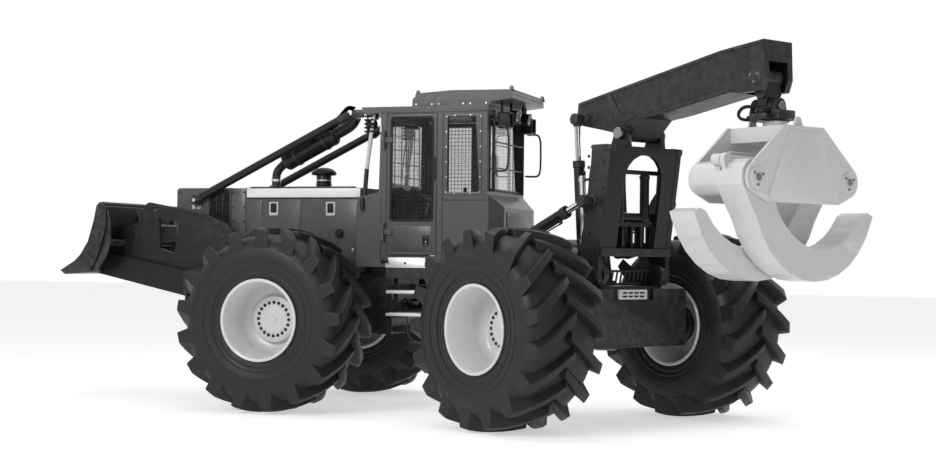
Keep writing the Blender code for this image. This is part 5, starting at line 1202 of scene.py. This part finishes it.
# ================================ arch, winch and boom ======================================
def add_arch_details():
    rollers = []
    for y in (-0.18, 0.18):
        rollers.append(rod((-2.26, y, 2.03), (-2.26, y, 2.49), 0.047, 0.006, 32,
                           ((0.0, 0.03, 0.053), (0.43, 0.46, 0.053))))
    rollers.append(rod((-2.24, -0.42, 2.07), (-2.24, 0.42, 2.07), 0.047, 0.006, 32,
                       ((0.0, 0.03, 0.053), (0.81, 0.84, 0.053))))
    fit(join(*rollers), "fairlead_rollers", "arch", "dark")
    slat = block((-2.222, -0.008, 1.785), (-2.198, 0.008, 2.005), 0.003)
    slats = repeat(slat, [Matrix.Translation((0, y * 0.054, 0)) for y in range(-7, 8)])
    fit(slats, "fairlead_grate", "arch", "dark")
    caps, studs = [], []
    for y, z, r in ((0.503, 1.50, 0.085), (0.503, 2.225, 0.05)):
        caps.append(lathe([(0, 0.022), (r * 0.8, 0.020), (r, 0.010), (r, 0), (0, 0)], (-2.22, y, z),
                          (0, 1, 0), 36))
    fit(both_sides(join(*caps)), "arch_pin_caps", "arch", "dark")
    studs = [(-2.22 + 0.05 * math.cos(a), 0.523, 1.50 + 0.05 * math.sin(a)) for a in (0.2, 2.3, 4.4)]
    studs += [(-2.16, 0.50, z) for z in (1.90, 2.55, 2.66)] + [(-2.36, 0.50, z) for z in (2.10, 2.35, 2.60)]
    fit(both_sides(bolts(studs, (0, 1, 0), 0.012)), "arch_bolts", "arch", "dark")
    flange = [(-2.468, 2.70), (-2.475, 2.76), (-2.40, 2.772), (-2.20, 2.772), (-2.18, 2.74)]
    lips = plate(flange, "Y", 0.435, 0.505, 0.006)
    fit(both_sides(lips), "arch_corner_plates", "arch", "dark")
    pins = [rod((-2.36, 0.268, 2.888), (-2.36, 0.318, 2.888), 0.058, 0.006, 32),
            rod((-1.86, 0.262 + 0.10, 1.72), (-1.86, 0.40, 1.72), 0.045, 0.005, 28)]
    fit(both_sides(join(*pins)), "arch_boom_pins", "arch", "steel")
    lines = []
    for x in (-2.09, -2.05, -2.01):
        lines.append(pipe([(x, 0.36, 1.80), (x, 0.37, 2.0), (x - 0.02, 0.37, 2.3), (x - 0.04, 0.36, 2.6),
                           (x - 0.08, 0.34, 2.72)], 0.013))
    fit(join(*lines), "arch_hoses", "arch", "rubber")
    guard = rod((-1.965, 0.37, 1.80), (-1.93, 0.37, 2.48), 0.030, 0.004, 32,
                ((0.0, 0.05, 0.038), (0.62, 0.67, 0.038)))
    fit(guard, "arch_hose_guard", "arch", "zinc")
    brace = rod((-2.15, 0.40, 1.83), (-1.97, 0.37, 1.83), 0.014)
    brace = join(brace, rod((-2.17, 0.42, 2.44), (-1.935, 0.37, 2.44), 0.014))
    fit(brace, "arch_guard_brackets", "arch", "dark")


def add_rear_deck():
    wraps = [(0.12, -0.27)]
    for i in range(14):
        centre = -0.252 + 0.0388 * i
        wraps += [(0.155 + 0.017 * math.sin(math.pi * k / 5), centre - 0.0175 * math.cos(math.pi * k / 5))
                  for k in range(6)]
    wraps += [(0.12, 0.27)]
    fit(lathe(wraps, (-1.42, 0, 1.68), (0, 1, 0), 56), "winch_rope", "winch_drum", "rope")
    drum_caps = []
    for side in (1, -1):
        drum_caps.append(lathe([(0, 0.05), (0.075, 0.046), (0.10, 0.03), (0.105, 0), (0, 0)],
                               (-1.42, side * 0.372, 1.68),
                               (0, side, 0), 40))
    motor = rod((-1.42, 0.40, 1.68), (-1.42, 0.48, 1.68), 0.06, 0.006, 32)
    fit(join(*drum_caps, motor), "winch_end_caps", "rear", "dark")
    ring_bolts = [(-1.42 + 0.13 * math.cos(a), 0.371,
                   1.68 + 0.13 * math.sin(a)) for a in [math.tau * i / 8 for i in range(8)]]
    fit(both_sides(bolts(ring_bolts, (0, 1, 0), 0.010)), "winch_bolts", "rear", "steel")
    slat = block((-0.006, -0.010, 0.0), (0.006, 0.010, 0.150), 0.003)
    lean = Matrix.Rotation(math.radians(-12), 4, "Y")
    slats = repeat(slat, [Matrix.Translation((-2.13, -0.33 + 0.06 * i, 1.395)) @ lean for i in range(12)])
    rails = [rod((-2.16, -0.37, 1.535), (-2.16, 0.37, 1.535), 0.012, 0.003, 16),
             rod((-2.132, -0.37, 1.405), (-2.132, 0.37, 1.405), 0.012, 0.003, 16)]
    fit(join(slats, *rails), "deck_comb", "rear", "dark")
    vent = block((-2.298, -0.20, 1.254), (-2.262, 0.20, 1.354), 0.008, 3)
    slots = [block((-2.301, y, z), (-2.295, y + 0.06, z + 0.018), 0.002) for y in (-0.15, -0.07, 0.01, 0.09)
             for z in (1.276, 1.312)]
    fit(vent, "rear_vent_box", "rear", "label")
    fit(join(*slots), "rear_vent_slots", "rear", "plastic")
    hem = [block((-2.304, -0.758, 0.782), (-2.296, 0.758, 0.800), 0.003),
           block((-2.304, 0.735, 0.790), (-2.296, 0.758, 1.355), 0.003),
           block((-2.304, -0.758, 0.790), (-2.296, -0.735, 1.355), 0.003)]
    fit(join(*hem), "butt_plate_hem", "rear", "dark")
    tank = block((-1.60, -0.42 - 0.20, 1.10), (-1.05, -0.42, 1.38), 0.03, 3)
    fit(tank, "rear_valve_chest", "rear", "dark")


def add_boom_details():
    seams = []
    for side in (1, -1):
        y = side * 0.20
        low, high = sorted((y, y + side * 0.008))
        seams.append(plate([(-1.70, 3.222), (-1.70, 3.200), (-3.58, 3.562), (-4.07, 3.622), (-4.07, 3.646),
                            (-3.58, 3.586)],
                           "Y", low, high, 0.002))
        seams.append(plate([(-2.88, 3.072), (-3.70, 3.212), (-3.70, 3.232), (-2.88, 3.092)], "Y", low, high,
                           0.002))
        seams.append(plate([(-2.50, 3.060), (-2.36, 3.00), (-2.20, 3.05), (-2.10, 3.28), (-2.16, 3.29),
                            (-2.28, 3.10),
                            (-2.44, 3.08)], "Y", low, high, 0.002))
    fit(join(*seams), "boom_edge_flanges", "boom", "dark")
    boss = []
    for x, z, r in ((-2.36, 2.888, 0.07), (-1.76, 3.06, 0.062), (-3.98, 3.32, 0.07)):
        boss.append(lathe([(0, 0.006), (r * 0.85, 0.006), (r, 0.0), (0, 0.0)], (x, 0.20, z), (0, 1, 0), 36))
    fit(both_sides(join(*boss)), "boom_bosses", "boom", "dark")
    stub = rod((-1.76, 0.20, 3.06), (-1.76, 0.214, 3.06), 0.035, 0.003, 28)
    fit(both_sides(stub), "boom_cylinder_stubs", "boom", "steel")
    studs = [(-3.98 + 0.045 * math.cos(a), 0.206, 3.32 + 0.045 * math.sin(a)) for a in (0.5, 2.6, 4.7)]
    fit(both_sides(bolts(studs, (0, 1, 0), 0.009)), "boom_pin_bolts", "boom", "steel")
    lines = [pipe([(-1.80, y, 3.262), (-2.6, y, 3.414), (-3.4, y, 3.566), (-3.62, y, 3.606),
                   (-4.0, y, 3.640)], 0.012)
             for y in (-0.12, -0.09, -0.06)]
    fit(join(*lines), "boom_hoses", "boom", "rubber")
    clamps = [block((x - 0.02, -0.14, z), (x + 0.02, -0.04, z + 0.030), 0.004) for x, z in
              ((-2.1, 3.306), (-2.8, 3.441), (-3.5, 3.577))]
    fit(join(*clamps), "boom_hose_clamps", "boom", "dark")


def add_grapple_details():
    x = HANG_X + 0.08
    hoses = []
    for y, reach in ((-0.10, 0.0), (0.10, 0.0), (-0.06, 0.03), (0.06, 0.03)):
        side = 1 if y > 0 else -1
        hoses.append(pipe([(x + 0.02, y, 3.04), (x + 0.12 + reach, y + side * 0.07, 3.08),
                           (x + 0.20 + reach, y + side * 0.10, 3.00),
                           (x + 0.16 + reach, y + side * 0.08, 2.93),
                           (x + 0.10, y * 0.9, 2.945)], 0.014))
    fit(join(*hoses), "rotator_hoses", "hanger", "rubber")
    body = lathe([(0, 2.975), (0.10, 2.975), (0.125, 2.965), (0.130, 2.95), (0.130, 2.935), (0.118, 2.93),
                  (0, 2.93)],
                 (HANG_X, 0, 0), (0, 0, 1), 40)
    fit(body, "rotator_housing", "hanger", "dark")
    pins = [rod((x - 0.165, 0, 3.06), (x - 0.150, 0, 3.06), 0.045),
            rod((x + 0.150, 0, 3.06), (x + 0.165, 0, 3.06), 0.045)]
    fit(join(*pins), "hanger_pin_heads", "hanger", "steel")
    motors = []
    for side in (1, -1):
        motors.append(rod((HANG_X + 0.03, side * 0.165, 2.92), (HANG_X + 0.03, side * 0.165, 3.035), 0.048,
                          0.008, 32,
                          ((0.03, 0.05, 0.054), (0.08, 0.095, 0.053))))
        motors.append(block((HANG_X - 0.06, side * 0.165 - 0.045, 2.935),
                            (HANG_X + 0.12, side * 0.165 + 0.045, 2.985),
                            0.008))
        motors.append(rod((HANG_X + 0.03, side * 0.165, 3.005), (HANG_X + 0.03, side * 0.235, 3.005), 0.018,
                          0.003, 20))
    motors.append(block((HANG_X - 0.14, -0.12, 2.94), (HANG_X - 0.08, 0.12, 3.02), 0.010))
    fit(join(*motors), "rotator_motors", "hanger", "dark")
    brake = [lathe([(0, 0.022), (0.050, 0.021), (0.062, 0.014), (0.064, 0), (0, 0)],
                   (HANG_X + 0.08, side * 0.100, 3.19),
                   (0, side, 0), 36) for side in (1, -1)]
    fit(join(*brake), "swing_damper_covers", "crosshead", "dark")
    py, pz = GRAPPLE_PIVOT
    for end, name in ((-1, "rear"), (1, "front")):
        face = HANG_X + end * 0.34
        discs = []
        heads = []
        for y in (py, -py):
            discs.append(lathe([(0.040, 0.012), (0.088, 0.012), (0.096, 0.006), (0.096, 0), (0.040, 0)],
                               (face, y, pz),
                               (end, 0, 0), 40))
            heads += [(face + end * 0.012, y + 0.065 * math.cos(a), pz + 0.065 * math.sin(a)) for a in (0.6,
                                                                                                        2.7, 4.8)]
        fit(join(*discs), f"head_{name}_bosses", "grapple", "light")
        fit(bolts(heads, (end, 0, 0), 0.010), f"head_{name}_bolts", "grapple", "steel")
        weld = plate([(0.20, 2.82), (0.22, 2.80), (0.50, 2.22), (0.48, 2.20), (-0.48, 2.20), (-0.50, 2.22),
                      (-0.22, 2.80),
                      (-0.20, 2.82)], "X", min(face, face + end * 0.004), max(face, face + end * 0.004),
                      0.003)
        fit(weld, f"head_{name}_doubler", "grapple", "light")
    caps = [rod((HANG_X - 0.353, y, pz), (HANG_X - 0.362, y, pz), 0.034, 0.003, 28) for y in (py, -py)]
    caps += [rod((HANG_X + 0.353, y, pz), (HANG_X + 0.362, y, pz), 0.034, 0.003, 28) for y in (py, -py)]
    fit(join(*caps), "head_pin_ends", "grapple", "steel")
    lugs = [plate([(-0.07, 2.855), (0.07, 2.855)] + ring((0, 2.905), 0.045, 10, 0, 180), "X",
                  HANG_X + e - 0.012,
                  HANG_X + e + 0.012, 0.004) for e in (-0.26, 0.26)]
    fit(join(*lugs), "head_top_lugs", "grapple", "light")
    for side, name in ((1, "left"), (-1, "right")):
        y = side * py
        near = -side
        start, end = sorted((HANG_X + near * (-0.302), HANG_X + near * 0.03))
        sleeve = lathe([(0.1565, end - start), (0.1565, 0), (0.120, 0), (0.120, end - start)], (start, y, pz),
                       (1, 0, 0), 48)
        fit(sleeve, f"tong_{name}_sleeve", f"tong_{name}", "light")


# ================================ stage =====================================================
def add_stage():
    deselect()
    bpy.ops.mesh.primitive_plane_add(size=120, location=(0, 0, -0.002))
    floor = bpy.context.object
    floor.name = "studio_floor"
    pale, _, shader = empty_material("studio_floor_pale")
    shader.inputs["Base Color"].default_value = (0.62, 0.62, 0.62, 1)
    shader.inputs["Roughness"].default_value = 0.95
    shader.inputs["Specular IOR Level"].default_value = 0.0
    shader.inputs["Emission Color"].default_value = (1, 1, 1, 1)
    shader.inputs["Emission Strength"].default_value = 0.52
    floor.data.materials.append(pale)
    world = bpy.data.worlds.new("studio")
    world.use_nodes = True
    world.node_tree.nodes["Background"].inputs["Color"].default_value = (1, 1, 1, 1)
    sky = world.node_tree
    towards = node(sky, "ShaderNodeVectorMath", operation="DOT_PRODUCT")
    sky.links.new(sky.nodes.new("ShaderNodeTexCoord").outputs["Generated"], towards.inputs[0])
    towards.inputs[1].default_value = (0.60, -0.80, 0.0)
    level = ranged(sky, towards.outputs["Value"], -0.25, 0.55, 0.30, 1.0)
    sky.links.new(level, sky.nodes["Background"].inputs["Strength"])
    bpy.context.scene.world = world
    lights = (("key", (4, 13, 8), 1000, 5), ("fill", (-10, 9, 5), 160, 8), ("top", (0, 0, 11), 300, 9),
              ("rim_light", (-9, -9, 7), 260, 6))
    for name, place, power, size in lights:
        lamp = bpy.data.lights.new(name, "AREA")
        lamp.energy = power
        lamp.size = size
        body = bpy.data.objects.new(name, lamp)
        body.location = place
        body.rotation_euler = (Vector((0, 0, 1.2)) - Vector(place)).to_track_quat("-Z", "Y").to_euler()
        bpy.context.scene.collection.objects.link(body)


def add_camera():
    camera = bpy.data.cameras.new("camera")
    camera.sensor_width = 36.0
    camera.lens = 60.557
    camera.clip_end = 200
    body = bpy.data.objects.new("camera", camera)
    bpy.context.scene.collection.objects.link(body)
    forward = Vector((0.328273, -0.944511, 0.011686)).normalized()
    right = forward.cross(Vector((0, 0, 1))).normalized()
    up = right.cross(forward)
    roll = 0.01127
    side = right * math.cos(roll) + up * math.sin(roll)
    top = up * math.cos(roll) - right * math.sin(roll)
    turn = Matrix((side, top, -forward)).transposed().to_4x4()
    body.matrix_world = FRONT @ Matrix.Translation((-5.5428, 16.5056, 1.6647)) @ turn
    bpy.context.scene.camera = body
    bpy.context.scene.view_settings.view_transform = "Standard"


# ================================ assembly ==================================================
add_camera()
add_stage()
add_wheels()
add_cylinders()
add_hood_details()
add_grilles()
add_deflectors()
add_air_cleaner()
add_doors()
add_cab_sides()
add_cab_ends()
add_lamps()
add_roof()
add_cab_interior()
add_steps()
add_running_gear()
add_blade_details()
add_arch_details()
add_rear_deck()
add_boom_details()
add_grapple_details()
finish_nodes()
deselect()
